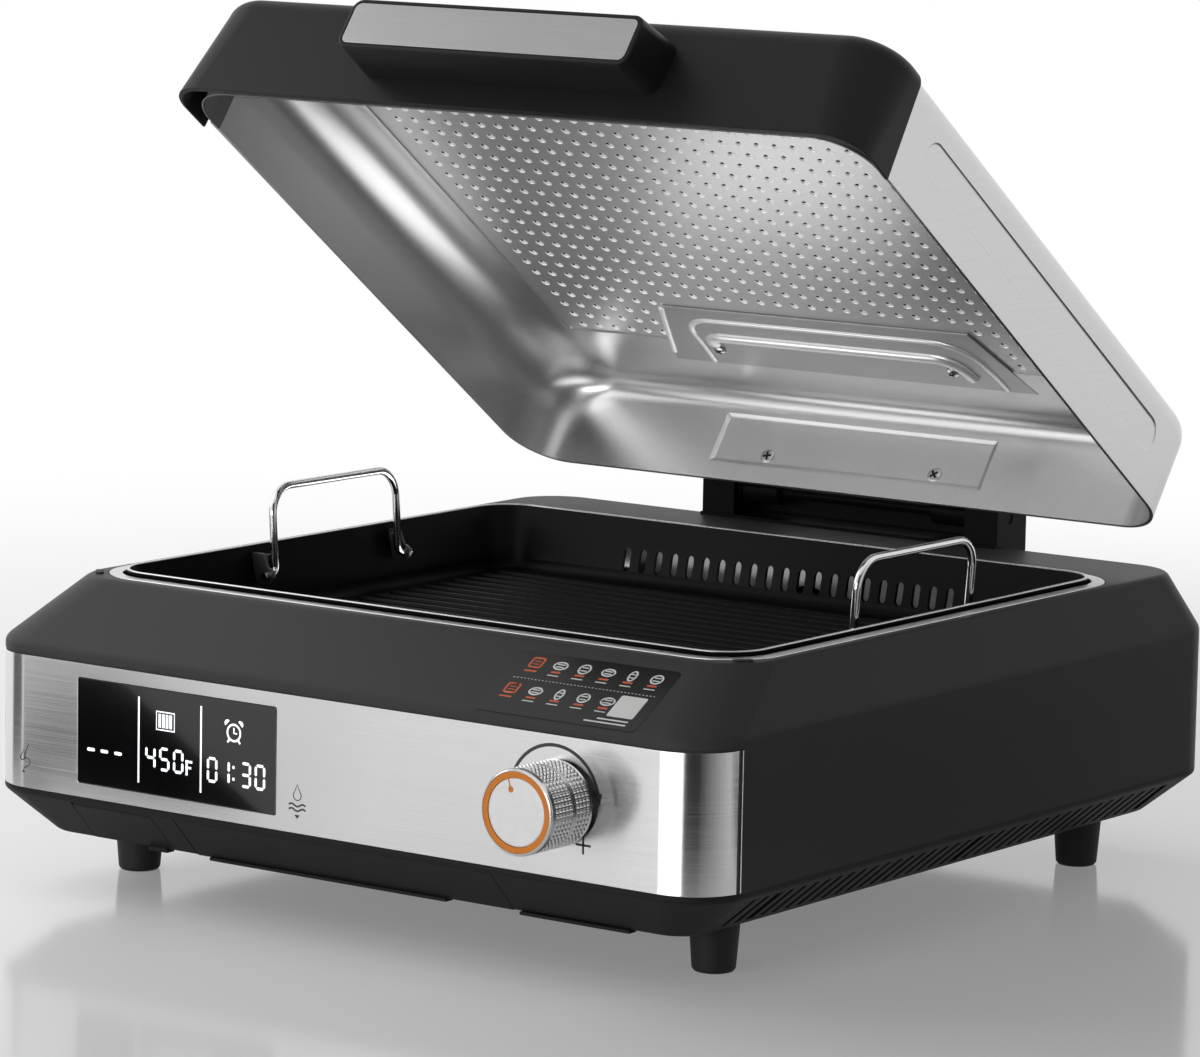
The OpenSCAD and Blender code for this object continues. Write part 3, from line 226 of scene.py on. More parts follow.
class Wire:
    """An output of a shader node. Sums written with wires add Math nodes to their material."""

    def __init__(self, tree, socket=None):
        self.tree, self.socket = tree, socket

    def node(self, kind, settings, inputs, output=0):
        made = self.tree.nodes.new("ShaderNode" + kind)
        for name, value in settings.items():
            setattr(made, name, value)
        for key, value in inputs.items():
            if isinstance(value, Wire):
                self.tree.links.new(value.socket, made.inputs[key])
            else:
                made.inputs[key].default_value = value
        return Wire(self.tree, made.outputs[output] if made.outputs else None)

    def math(self, operation, *values):
        return self.node("Math", {"operation": operation}, dict(enumerate(values)))

    def __add__(self, other):
        return self.math("ADD", self, other)

    def __sub__(self, other):
        return self.math("SUBTRACT", self, other)

    def __rsub__(self, other):
        return self.math("SUBTRACT", other, self)

    def __mul__(self, other):
        return self.math("MULTIPLY", self, other)

    __radd__, __rmul__ = __add__, __mul__


def finish(name):
    """Starts a material, and gives the wire of a point's place on the piece in metres."""
    material = bpy.data.materials.new(name)
    material.use_nodes = True
    material.node_tree.nodes.clear()
    return material, Wire(material.node_tree).node("TexCoord", {}, {}, "Object")


def noise(place, cells, detail=2.0):
    """Cloudy pattern from 0 to 1, with so many cells to the metre, alike or along each axis."""
    cells = cells if isinstance(cells, tuple) else (cells,) * 3
    spread = place.node("VectorMath", {"operation": "MULTIPLY"}, {0: place, 1: cells})
    return place.node("TexNoise", {}, {"Vector": spread, "Scale": 1.0, "Detail": detail})


def mix(mask, low, high):
    """A colour part of the way from one to another, each a wire, three numbers, or one for a grey."""
    low, high = (c if isinstance(c, Wire) else (c, c, c, 1) if isinstance(c, float) else (*c, 1)
                 for c in (low, high))
    return mask.node("Mix", {"data_type": "RGBA"}, {0: mask, 6: low, 7: high}, 2)


def coat(place, inputs, relief=None, depth=0.0001, strength=0.4):
    """Ends a material: its shader's sockets and the relief, in metres, that its light falls on."""
    if relief is not None:
        inputs["Normal"] = place.node("Bump", {}, {"Strength": strength, "Distance": depth, "Height": relief})
    shader = place.node("BsdfPrincipled", {}, inputs)
    place.node("OutputMaterial", {}, {"Surface": shader})


def moulded(name, dark, light, rough, gloss=0.3, grain=1500):
    """Moulded plastic: a spark-eroded grain, slightly cloudy, a little shinier where it is handled."""
    material, place = finish(name)
    fine, cloud = noise(place, grain, 1.5), noise(place, 14, 3.0)
    coat(place, {"Base Color": mix(cloud * 0.6 + fine * 0.4, dark, light), "Specular IOR Level": gloss,
                 "Roughness": rough + (cloud - 0.5) * 0.12 + (fine - 0.5) * 0.1}, fine, 0.00006, 0.35)
    return material


skirt_drop, skirt_run, side_run = SKIRT_TOP - FLOOR_Z, SKIRT[2] - BODY[2], BODY[1] - SKIRT[1]
front_len, side_len = math.hypot(skirt_drop, skirt_run), math.hypot(skirt_drop, side_run)
skirt_frame = axes((0, BODY[2], SKIRT_TOP), (1, 0, 0), Vector((0, skirt_run, -skirt_drop)) / front_len,
                   Vector((0, skirt_drop, skirt_run)) / front_len)
outer_path = eased([(SEAM_Z, 0, 0), (SKIRT_TOP, 0, 0), (FLOOR_Z, skirt_drop, 0),
                    (FLOOR_Z, skirt_drop, FLOOR_EDGE)], (1.6, 2.5))
rings = [level(grown(q, -WALL), z) for q, z in ((SKIRT, FLOOR_TOP), (BODY, SKIRT_TOP), (BODY, SEAM_Z))]
rings += [level(grown(between(BODY, SKIRT, s / skirt_drop), -d), z) for z, s, d in outer_path]
housing = skin("housing_skirt", rings, (True, True))
vents = []
for side in (-1, 1):
    down = Vector((-side * side_run, 0, -skirt_drop)) / side_len
    outward = Vector((side * skirt_drop, 0, -side_run)) / side_len
    for i in range(VENTS):
        w = WIDE_VENT_W if i % WIDE_VENT_EVERY == WIDE_VENT_FIRST else VENT_W
        at = Vector((side * BODY[1], MID_Y + (i - (VENTS - 1) / 2) * VENT_PITCH, SKIRT_TOP))
        vents.append((axes(at, down, (0, side, 0), outward), (VENT_MARGIN, -w / 2, -2 * WALL),
                      (side_len - VENT_MARGIN, w / 2, 2)))
openings = [(skirt_frame, (q[0] - PANEL_GAP, q[2] - PANEL_GAP, -1), (q[1] + PANEL_GAP, q[3] + 4, 5))
            for q in (DRAWER, FLAP)]
cut(housing, blocks("vent_cutter", vents), blocks("panel_cutter", openings))
casing_black = moulded("grained_black_plastic", (0.014, 0.014, 0.0144), (0.019, 0.019, 0.0194), 0.5, 0.1)
dress(soften(housing, 30), "base", "casing_black", casing_black, "lower_housing")

# Drawer front, probe flap: flush panels of the skirt's plastic. The drawer pulls straight out,
# the flap hangs on a pin. Both are the built solids with their edges broken, and a low lip below.
LIP_FRONT, LIP_REAR, LIP_LOW, LIP_HIGH, LIP_EDGE = -194, -188, 23.2, 25, 0.7
LIPS = (("drawer_pull_lip", "tray", -86, 56), ("flap_tab", "flap", -124, -112),
        ("skirt_lower_rib", "base", 98, 160))


def broken_edges(node, edge, angle=30):
    """A copy of a built solid with its flats merged and its sharp edges rounded."""
    mesh = frame["nodes"][node].data.copy()
    with opened(mesh) as bm:
        bmesh.ops.remove_doubles(bm, verts=bm.verts, dist=2e-6)
        bmesh.ops.dissolve_limit(bm, angle_limit=math.radians(0.6), verts=bm.verts, edges=bm.edges)
    return soften(placed(node + "_piece", mesh), angle, edge)


dress(broken_edges("tray_front", 0.5), "tray", "casing_black", casing_black, "tray_front")
dress(broken_edges("probe_flap", 0.4), "flap", "casing_black", casing_black, "probe_flap")
for name, body, left, right in LIPS:
    lip = blocks(name, [(Matrix(), (left, LIP_FRONT, LIP_LOW), (right, LIP_REAR, LIP_HIGH))])
    dress(soften(lip, edge=LIP_EDGE, segments=3), body, "casing_black", casing_black)

# Feet: four hollow posts of black rubber, a little wider at the top than at the tread.
# A screw goes up through each post's hollow into the housing's floor.
FOOT_X, FOOT_FRONT, FOOT_REAR = 172, -144, 173
FOOT_LINE = ((2.05, 24.5), (2.05, 12.25), (5.5, 12.25), (5.5, 0.8), (6.3, 0), (9.0, 0), (10.2, 1.4),
             (12, 24.5))  # radius, height
FOOT_EASE = (0, 0, 0.4, 0.5, 0.6, 0.8)


def turned(name, line, reach, place=Matrix(), steps=48):
    """A piece turned about Z from a line of (radius, height), its corners eased by their reach."""
    turns = [2 * math.pi * i / steps for i in range(steps)]
    return skin(name, [[place @ Vector((r * math.cos(a), r * math.sin(a), z)) for a in turns]
                       for r, z in eased(line, reach)])


def clouded(name, cells, dark, light, rough, vary=0.0, detail=2.0, more=None, depth=0.0, strength=0.3):
    """A finish whose colour, roughness and relief drift together, with so many cells to the metre."""
    material, place = finish(name)
    cloud = noise(place, cells, detail)
    coat(place, {"Base Color": mix(cloud, dark, light), "Roughness": rough + cloud * vary if vary else rough,
                 **(more or {})}, cloud if depth else None, depth, strength)
    return material


rubber = clouded("foot_rubber", 900, 0.009, 0.016, 0.5, 0.2, 2.0, {"Specular IOR Level": 0.3}, 0.00008, 0.4)
for end, y in (("front", FOOT_FRONT), ("rear", FOOT_REAR)):
    for hand, side in (("left", -1), ("right", 1)):
        name = "foot_%s_%s" % (end, hand)
        foot = turned(name + "_post", FOOT_LINE, FOOT_EASE, Matrix.Translation((side * FOOT_X, y, 0)))
        dress(soften(foot, 40), "base", "foot_rubber", rubber, name)

# Upper shell: a satin charcoal moulding with upright walls and sloped shoulders up to a flat rim.
# Its front wall is let in for the steel band, its rim for the trim ring and its rear wall for the socket.
RIM = (-200, 200, -167, 225, 27)
TRIM = (-195, 195, -161, 176, 31)
WAIST_Z, RIM_Z, RIM_EDGE, SHELL_T = 119, 146, 4.6, 2.5
TRIM_BED, TRIM_CLEAR, LEDGE = 2, 0.4, 5
BAND_LOW, BAND_HIGH, BAND_END, BAND_POCKET, BAND_GAP = 48.3, 113.1, -185.8, 1.0, 1.0
INLET_X, INLET_Z, INLET_W, INLET_H = -140, 81, 29.4, 21.4
split = math.degrees(math.asin((BODY[2] + BODY[4] - BAND_END) / BODY[4]))


def pocketed(q, z, pocket):
    """A level of the casing whose front, as far round as the band reaches, is drawn in by the pocket."""
    left, right, front, rear, r = q
    runs = ((right - r, front + r, r - pocket, -90, -split, 14), (right - r, front + r, r, -split, 0, 2),
            (right - r, rear - r, r, 0, 90, 14), (left + r, rear - r, r, 90, 180, 14),
            (left + r, front + r, r, 180, 180 + split, 2),
            (left + r, front + r, r - pocket, 180 + split, 270, 14))
    return [(x, y, z) for run in runs for x, y in arc(*run)]


rise = RIM_Z - WAIST_Z
shoulder = eased([(BAND_HIGH + BAND_GAP, 0, 0), (WAIST_Z, 0, 0), (RIM_Z, rise, 0), (RIM_Z, rise, RIM_EDGE)],
                 (2.6, 3.0), 6)
rings = [pocketed(BODY, z, BAND_POCKET) for z in (SEAM_Z + 0.05, BAND_HIGH + BAND_GAP)]
rings += [pocketed(grown(between(BODY, RIM, s / rise), -d), z, 0) for z, s, d in shoulder]
bed = eased([(0.9, RIM_Z), (TRIM_CLEAR, RIM_Z), (TRIM_CLEAR, RIM_Z - TRIM_BED)], (0.35,))
rings += [pocketed(grown(TRIM, d), z, 0) for d, z in bed]
rings += [pocketed(grown(TRIM, -LEDGE), z, 0) for z in (RIM_Z - TRIM_BED, RIM_Z - LEDGE)]
casing = skin("casing_shell", rings)
solid = casing.modifiers.new("wall", "SOLIDIFY")
solid.thickness, solid.offset = SHELL_T * MM, -1
settle(casing)
cut(casing, blocks("inlet_cutter", [(Matrix(), (INLET_X - INLET_W / 2, RIM[3], INLET_Z - INLET_H / 2),
                                     (INLET_X + INLET_W / 2, RIM[3] + 15, INLET_Z + INLET_H / 2))]))
charcoal = moulded("satin_charcoal_plastic", (0.046, 0.046, 0.0465), (0.055, 0.055, 0.0555), 0.42, 0.06, 2200)
dress(soften(casing, 34), "base", "casing_charcoal", charcoal, "upper_shell")

# Control band: a strip of brushed stainless sheet that wraps the front and both front corners,
# punched for the display and the knob and bonded into the casing's pocket.
BAND_T, ARC_POINTS = 0.8, 15
DISPLAY = (-153, -31, 55.2, 106.2)
KNOB_X, KNOB_Z, KNOB_HOLE_R = 134, 83.2, 4.2
SEAL = 0.7, 3.3  # the sealed gap that sets off the band's turned end


def brushed(name, dark, light, rough, stretch, cloud=7, sheen=0.0, metal=1.0, depth=0.00002, vary=0.16):
    """Brushed steel: long fine scratches along one axis over a faintly clouded sheet."""
    material, place = finish(name)
    lines, patch = noise(place, stretch, 3.0), noise(place, cloud, 2.0)
    coat(place, {"Base Color": mix(lines * 0.7 + patch * 0.3, dark, light), "Metallic": metal,
                 "Anisotropic": sheen, "Anisotropic Rotation": 0.25,
                 "Roughness": rough + (lines - 0.5) * vary + (patch - 0.5) * 0.06}, lines, depth, 0.3)
    return material


def prism(name, edge, low, high):
    """An upright solid over a flat edge."""
    return skin(name, [[(x, y, z) for x, y in edge] for z in (low, high)], (True, True))


def facing(q, y, steps=5):
    """A rounded rectangle that faces the front."""
    return [(x, y, z) for x, z in outline(q, steps)]


def end_strip(name, side, first, last, inside, outside, low, high):
    """An upright strip round a front corner, between two lengths back from the band's end and two depths."""
    turns = [math.radians(split) + (first + (last - first) * i / 4) / BODY[4] for i in range(5)]
    x, y = BODY[1] - BODY[4], BODY[2] + BODY[4]
    runs = ((BODY[4] - inside, turns), (BODY[4] - outside, turns[::-1]))
    edge = [(side * (x + r * math.cos(t)), y - r * math.sin(t)) for r, run in runs for t in run]
    return prism(name, edge, low, high)


face, back = ([(x, y) for x, y, z in ring[-ARC_POINTS:] + ring[:ARC_POINTS]]
              for ring in (pocketed(BODY, 0, 0), pocketed(BODY, 0, BAND_T)))
band = prism("control_band", face + back[::-1], BAND_LOW, BAND_HIGH)
knob_hole = turned("knob_cutter", ((0, -6), (KNOB_HOLE_R, -6), (KNOB_HOLE_R, 6), (0, 6)), (0, 0),
                   Matrix.Translation((KNOB_X, BODY[2], KNOB_Z)) @ Matrix.Rotation(math.pi / 2, 4, "X"), 32)
window = skin("window_cutter", [facing(grown((*DISPLAY, 1), 0.2), y) for y in (BODY[2] - 3, BODY[2] + 3)],
              (True, True))
cut(band, window, knob_hole, *[end_strip("seal_cutter", side, *SEAL, 3, -2, BAND_LOW - 2, BAND_HIGH + 2)
                               for side in (-1, 1)])
band_steel = brushed("band_steel", (0.70, 0.70, 0.705), (0.82, 0.82, 0.825), 0.19, (9, 9, 2600), sheen=0.7,
                     depth=0.000012)
dress(soften(band, 40, 0.22), "base", "band_steel", band_steel, "fascia_band")

# Band's printed marks: a turning arrow and a plus sign at the knob, a drip sign over the drawer
# and a probe sign over the flap, in black ink a twentieth of a millimetre thick. The end seals are as black.
ARROW = KNOB_X - 4, KNOB_Z + 0.3, 25
PLUS_X, PLUS_Z, PLUS_ARM = 146.6, 65, 4.2
DRIP_X, DRIP_Z, DRIP_R = -18, 66.2, 2.3
WAVE_LEFT, WAVE_LONG, WAVE_STEPS = -23, 10, 32


def ribbon(points, width, closed=False):
    """Quads along a flat line of the given width."""
    points = [Vector(p) for p in points]
    count = len(points)
    edges = []
    for i, p in enumerate(points):
        before = points[i - 1] if i or closed else p
        after = points[(i + 1) % count] if i < count - 1 or closed else p
        run = (after - before).normalized()
        aside = Vector((-run.y, run.x)) * width / 2
        edges.append((p + aside, p - aside))
    pairs = zip(range(count), list(range(1, count)) + ([0] if closed else []))
    return [[edges[a][0], edges[a][1], edges[b][1], edges[b][0]] for a, b in pairs]


def printed(name, polygons, place, thick=0.05):
    """Flat ink: polygons in a plane, given a little thickness; place turns (x, y, height) into a point."""
    verts, faces = [], []
    for polygon in polygons:
        base, n = len(verts), len(polygon)
        verts += [place(p[0], p[1], h) for h in (thick, 0) for p in polygon]
        faces.append(tuple(range(base, base + n)))
        faces += [(base + i, base + n + i, base + n + (i + 1) % n, base + (i + 1) % n) for i in range(n)]
    return soften(shape(name, verts, faces), 30)


def on_band(x, z, out):
    """A point of the band's front, a little out from its face."""
    return (x, BODY[2] - out, z)


ink = clouded("printed_black", 700, 0.008, 0.016, 0.45)
for side, name in ((-1, "left"), (1, "right")):
    seal = end_strip("band_%s_seal" % name, side, *SEAL, 1.2, 0.75, BAND_LOW, BAND_HIGH)
    dress(soften(seal, 40), "base", "band_steel", ink)
marks = ribbon(arc(*ARROW, 160, 14), 1.6)
heel, tip = arc(*ARROW, 14, 3, 1)
marks.append([(heel[0] - 2.3, heel[1] + 0.5), (tip[0] + 0.2, tip[1] - 0.8), (heel[0] + 2.3, heel[1] - 0.2)])
marks += ribbon([(PLUS_X - PLUS_ARM, PLUS_Z), (PLUS_X + PLUS_ARM, PLUS_Z)], 1.1)
marks += ribbon([(PLUS_X, PLUS_Z - PLUS_ARM), (PLUS_X, PLUS_Z + PLUS_ARM)], 1.1)
marks += ribbon(arc(DRIP_X, DRIP_Z, DRIP_R, -225, 45, 18) + [(DRIP_X, DRIP_Z + 5.2)], 0.45, True)
for z in (61.6, 59.4):
    along = [i / WAVE_STEPS for i in range(WAVE_STEPS + 1)]
    marks += ribbon([(WAVE_LEFT + WAVE_LONG * u, z + 0.6 * math.sin(u * 3 * math.pi)) for u in along], 0.85)
marks.append([(DRIP_X - 1.6, 57), (DRIP_X + 1.6, 57), (DRIP_X, 55.2)])
marks += ribbon([(-184.6, 69.5), (-186.6, 65)] + arc(-188.2, 63.4, 1.7, 20, -160, 8) + [(-187.3, 67.2)]
                + arc(-185.4, 61.0, 1.9, 160, -60, 8) + [(-187.2, 57.8)], 0.45)
marks.append([(-188.4, 55.6), (-186.6, 55.6), (-187.5, 57.4)])
dress(printed("band_marks", marks, on_band), "base", "band_steel", ink)

# Display: a polished black window set flush in the band, with a lit read-out behind it.
# Two bright rules part three fields: an idle probe, the heat setting and the timer.
GLASS_EDGE, GLASS_T, GLASS_PROUD = 0.35, 3, 0.1
FIELD_RULES, RULE_TOP, RULE_LOW = (38.2, 76.6), -4.8, -46.2
IDLE_DASHES, DASH_HALF, DOT_R, COLON_DOTS = (8.4, 16.8, 25.4), 1.6, 0.8, (-31.6, -37.2)
HEAT_DIGITS, TIMER_DIGITS = (45.6, 54.2, 62.8), (83.6, 96.2, 104.0, 112.6)
DIGIT_W, HEAT_H, TIMER_H, STROKE = 6.6, 11.6, 12.4, 1.55
HEAT_Y, TIMER_Y, IDLE_Y = -33.2, -34.4, -34  # from the window's top left corner, as all the signs are
UNIT_X, CLOCK_X, CLOCK_Y, CLOCK_R = 68.0, 96.6, -15.2, 3.9
PLATE_LEFT, PLATE_RIGHT, PLATE_TOP, PLATE_LOW = 49.2, 60.2, -10.6, -19.2
SEGMENTS = {"a": (0, 1, 1, 1), "b": (1, 0.5, 1, 1), "c": (1, 0, 1, 0.5), "d": (0, 0, 1, 0),
            "e": (0, 0, 0, 0.5), "f": (0, 0.5, 0, 1), "g": (0, 0.5, 1, 0.5)}
LIT = {"0": "abcdef", "1": "ef", "3": "abcdg", "4": "bcfg", "5": "acdfg"}


def bar(a, b, width):
    """A six-sided bar between two points, pointed at its ends."""
    a, b = Vector(a), Vector(b)
    run = (b - a).normalized()
    side, trim = Vector((-run.y, run.x)) * width * 0.45, run * width * 0.62
    return [a + run * width * 0.2, a + trim + side, b - trim + side, b - run * width * 0.2,
            b - trim - side, a + trim - side]


def digit(sign, x, y, h):
    """Bars of a seven-segment figure centred on a point."""
    w, h = DIGIT_W - STROKE, h - STROKE
    left, low = x - w / 2, y - h / 2
    return [bar((left + a * w, low + b * h), (left + c * w, low + d * h), STROKE)
            for a, b, c, d in (SEGMENTS[s] for s in LIT[sign])]


glass_rings = [facing((*grown((*DISPLAY, 1), -d)[:4], 1 - d / 2), BODY[2] + y)
               for y, d in ((-GLASS_PROUD, GLASS_EDGE), (0, 0), (GLASS_T, 0))]
black_glass = clouded("polished_black_window", 30, (0.002, 0.002, 0.0025), (0.004, 0.004, 0.0045),
                      0.06, 0.05, 3.0,
                      {"Specular IOR Level": 0.5, "Coat Weight": 0.6, "Coat Roughness": 0.04})
dress(soften(skin("display_window", glass_rings, (True, True)), 25), "base", "display_black", black_glass,
      "display_glass")
lit = [quad for x in FIELD_RULES for quad in ribbon([(x, RULE_TOP), (x, RULE_LOW)], 1.0)]
for x in IDLE_DASHES:
    lit.append(arc(x + DASH_HALF, IDLE_Y, DOT_R, -90, 90, 6) + arc(x - DASH_HALF, IDLE_Y, DOT_R, 90, 270, 6))
for sign, x in zip("450", HEAT_DIGITS):
    lit += digit(sign, x, HEAT_Y, HEAT_H)
foot_line = HEAT_Y - HEAT_H / 2
lit += ribbon([(UNIT_X, foot_line), (UNIT_X, foot_line + 7.2)], 1.2)
for reach, up, width in ((3.4, 6.6, 1.2), (2.8, 3.7, 1.1)):
    lit += ribbon([(UNIT_X - 0.6, foot_line + up), (UNIT_X + reach, foot_line + up)], width)
for sign, x in zip("0130", TIMER_DIGITS):
    lit += digit(sign, x, TIMER_Y, TIMER_H)
for y in COLON_DOTS:
    lit.append(arc(CLOCK_X, y, DOT_R, 0, 360, 10)[:-1])
lit += ribbon([(PLATE_LEFT, PLATE_TOP), (PLATE_RIGHT, PLATE_TOP), (PLATE_RIGHT, PLATE_LOW),
               (PLATE_LEFT, PLATE_LOW)], 0.8, True)
for i in range(4):
    x, top, low = PLATE_LEFT + 1.2 + 2.25 * i, PLATE_TOP - 1, PLATE_LOW + 1
    lit.append([(x, top), (x + 1.6, top), (x + 1.6, low), (x, low)])
lit += ribbon(arc(CLOCK_X, CLOCK_Y, CLOCK_R, 0, 360, 32)[:-1], 1.0, True)
lit += ribbon([(CLOCK_X, CLOCK_Y + 2.4), (CLOCK_X, CLOCK_Y - 0.2), (CLOCK_X + 1.9, CLOCK_Y - 0.2)], 0.8)
for side in (-1, 1):
    lit.append(arc(CLOCK_X + side * CLOCK_R, CLOCK_Y + 4.3, 1.75, -side * 45, 180 - side * 45, 12))
    lit += ribbon([(CLOCK_X + side * 2.7, CLOCK_Y - 3.3), (CLOCK_X + side * 3.8, CLOCK_Y - 4.9)], 1.0)
read_out = printed("read_out", lit,
                   lambda x, z, h: on_band(DISPLAY[0] + x, DISPLAY[3] + z, GLASS_PROUD + h), 0.04)
dress(read_out, "base", "display_black",
      clouded("lit_read_out", 400, (0.82, 0.84, 0.86), (0.9, 0.92, 0.94), 0.4,
              more={"Emission Color": (0.93, 0.96, 1.0, 1), "Emission Strength": 0.75}))

# Knob: a chromed sleeve with a fine cross-cut knurl, an orange ring and a satin disc let into its end.
# It turns on the encoder's shaft and can be pressed; a small drop on the disc marks its place.
KNOB_R, KNOB_BASE, KNOB_FACE = 19.8, 214.5, 246  # radius, and how far forward it starts and ends
KNURL_TURN, KNURL_ROWS, KNURL_DEEP = 52, 10, 0.75
PLAIN_ROW = 4  # a plain groove between the knurl's two zones
STUD = ((0.0, -KNURL_DEEP), (0.3, 0), (0.62, 0), (0.92, -KNURL_DEEP))  # share of a pitch, depth
RING_R, DISC_R, INLAY_T, DISC_SUNK = 18.5, 15.6, 2, 0.25
POINTER_TURN = math.radians(107)
ON_KNOB = Matrix.Translation((KNOB_X, 0, KNOB_Z)) @ Matrix.Rotation(math.pi / 2, 4, "X")
knurl_low, knurl_high = KNOB_BASE + 1.6, KNOB_FACE - 4.2
row = (knurl_high - knurl_low) / KNURL_ROWS
heights = [(KNOB_BASE, -1.0, False), (KNOB_BASE + 0.5, -0.3, False), (KNOB_BASE + 1.0, 0, False)]
for i in range(KNURL_ROWS):
    if i != PLAIN_ROW:
        heights += [(knurl_low + (i + share) * row, deep, deep == 0) for share, deep in STUD]
heights += [(knurl_high + 0.2, -0.35, False), (knurl_high + 0.8, 0, False)]
heights += [(KNOB_FACE - back, deep, False) for back, deep in
            ((1.2, 0), (0.7, -0.14), (0.25, -0.5), (0, -1.0), (0, -1.2), (2.2, -1.2))]
sleeve_rings = []
for out, deep, knurled in heights:
    around = [(2 * math.pi * (i + share) / KNURL_TURN, KNOB_R + deep + (stud if knurled else 0))
              for i in range(KNURL_TURN) for share, stud in STUD]
    sleeve_rings.append([ON_KNOB @ Vector((r * math.cos(a), r * math.sin(a), out)) for a, r in around])
chrome = clouded("knurled_chrome", 90, (0.56, 0.56, 0.57), (0.68, 0.68, 0.69), 0.16, 0.1, 3.0,
                 {"Metallic": 1.0})
dress(soften(skin("knob_knurled_sleeve", sleeve_rings), 24), "dial", "knob_chrome", chrome, "knob_sleeve")
inlay_foot, ring_face, disc_face = KNOB_FACE - INLAY_T, KNOB_FACE - 0.05, KNOB_FACE - DISC_SUNK
ring = turned("knob_orange_ring", ((RING_R, inlay_foot), (RING_R, ring_face), (DISC_R + 0.1, ring_face),
                                   (DISC_R + 0.1, inlay_foot)), (0.25, 0.25), ON_KNOB, 96)
orange = clouded("orange_lacquer", 1300, (0.62, 0.19, 0.022), (0.70, 0.23, 0.03), 0.35, 0.1, 2.0,
                 {"Specular IOR Level": 0.25}, 0.00002)
dress(soften(ring, 40), "dial", "knob_orange", orange, "knob_ring")
disc = turned("knob_satin_disc", ((0, disc_face), (DISC_R - 0.4, disc_face), (DISC_R, disc_face - 0.35),
                                  (DISC_R, inlay_foot)), (0.5, 0.2), ON_KNOB, 96)
satin = clouded("satin_aluminium_disc", (260, 40, 260), 0.68, 0.76, 0.44, 0.12, 3.0,
                {"Metallic": 0.3}, 0.00002)
dress(soften(disc, 40), "dial", "knob_silver", satin, "knob_face")
needle = ribbon([(15.6, 0), (11.6, 0)], 0.75) + [arc(10.6, 0, 1.45, 0, 336, 14)]
on_disc = ON_KNOB @ Matrix.Translation((0, 0, disc_face)) @ Matrix.Rotation(POINTER_TURN, 4, "Z")
pointer = printed("knob_pointer", needle, lambda x, y, h: on_disc @ Vector((x, y, h)))
dress(pointer, "dial", "knob_orange", orange)

# Guide label: a dark satin sticker on the front shoulder, printed with two rows of plain food signs,
# orange and white bars under them, and a white square.
LABEL, LABEL_T = (82, 173, 0.8, 43.8, 3), 0.12  # along x, up the slope
SLOPE_UP = Vector((0, RIM[2] - BODY[2], RIM_Z - WAIST_Z)).normalized()
SLOPE_OUT = Vector((0, -SLOPE_UP.z, SLOPE_UP.y))
SIGN_PITCH = 13.4
SIGN_ROWS = ((34.4, 14, 6, 0), (15.6, 12, 5, 2))  # up the slope, first sign's inset, signs, first shape
SIGN_SHAPES = ((3.0, 2.9), (3.6, 2.5), (3.0, 3.1), (3.4, 2.4), (1.9, 3.3))
DOTS, DOT_UP, DOT_PITCH = 40, 25.4, 2
SQUARE = (152.3, 166.8, 8.7, 23.4, 1.0)


def on_slope(x, up, out):
    """A point of the front shoulder, a little out from its face."""
    return Vector((x, BODY[2], WAIST_Z)) + SLOPE_UP * up + SLOPE_OUT * out


def rule(x, half, up, width):
    """A short level bar, given its middle and half its length."""
    return ribbon([(x - half, up), (x + half, up)], width)


label = skin("guide_label", [[on_slope(x, u, h) for x, u in outline(LABEL, 6)] for h in (0, LABEL_T)],
             (False, True))
film = clouded("label_film", 60, 0.006, 0.011, 0.15, 0.06, 3.0, {"Specular IOR Level": 0.25})
dress(soften(label, 40), "base", "casing_charcoal", film)
white_signs, orange_signs = [], []
for up, inset, count, first in SIGN_ROWS:
    x = LABEL[0] + inset
    orange_signs += ribbon(outline((x - 3.2, x + 3.2, up - 0.8, up + 5.6, 1.2), 4), 1.1, True)
    orange_signs += rule(x, 1.8, up + 1.4, 0.6) + rule(x, 1.8, up + 3.4, 0.6) + rule(x, 3.4, up - 3.6, 1.1)
    for i in range(1, count):
        x = LABEL[0] + inset + i * SIGN_PITCH
        wide, tall = SIGN_SHAPES[(i + first) % len(SIGN_SHAPES)]
        white_signs += ribbon(arc(x, up + 2.3, wide, 0, 360, 20, tall)[:-1], 0.9, True)
        for k in (-0.35, 0.35):
            white_signs += rule(x, wide * 0.6, up + 2.3 + k * tall, 0.7)
        orange_signs += rule(x, 2.6, up - 2.4, 1.2)
        white_signs += rule(x, 3.1, up - 4.8, 0.6)
for i in range(DOTS):
    white_signs += rule(LABEL[0] + 8.45 + i * DOT_PITCH, 0.45, DOT_UP, 0.35)
white_signs.append(outline(SQUARE, 4))
white_signs += rule(157.5, 8.5, 6.4, 0.9) + rule(154.5, 11.5, 4.0, 0.9)
for name, signs, dark, light in (("white", white_signs, (0.66, 0.66, 0.65), (0.76, 0.76, 0.75)),
                                 ("orange", orange_signs, (0.52, 0.085, 0.02), (0.6, 0.11, 0.03))):
    print_piece = printed("label_%s_signs" % name, signs, lambda x, u, h: on_slope(x, u, LABEL_T + h), 0.03)
    dress(print_piece, "base", "casing_charcoal", clouded(name + "_ink", 500, dark, light, 0.5))

# Trim ring: a flat frame of satin steel sheet round the cooking well, with its edges rolled.
# It lies in a shallow bed in the rim and stands a hair above it.
TRIM_W, TRIM_LOW, TRIM_HIGH = 6.6, 144.9, 146.3
section = eased([(0, TRIM_LOW), (0, TRIM_HIGH), (-TRIM_W, TRIM_HIGH), (-TRIM_W, TRIM_LOW)], (0.4, 0.5))
trim = skin("rim_trim_ring", [level(grown(TRIM, d), z) for d, z in section], loop=True)
trim_steel = brushed("satin_trim_steel", 0.60, 0.72, 0.34, (120, 120, 1200))
dress(soften(trim), "base", "trim_steel", trim_steel, "trim_ring")
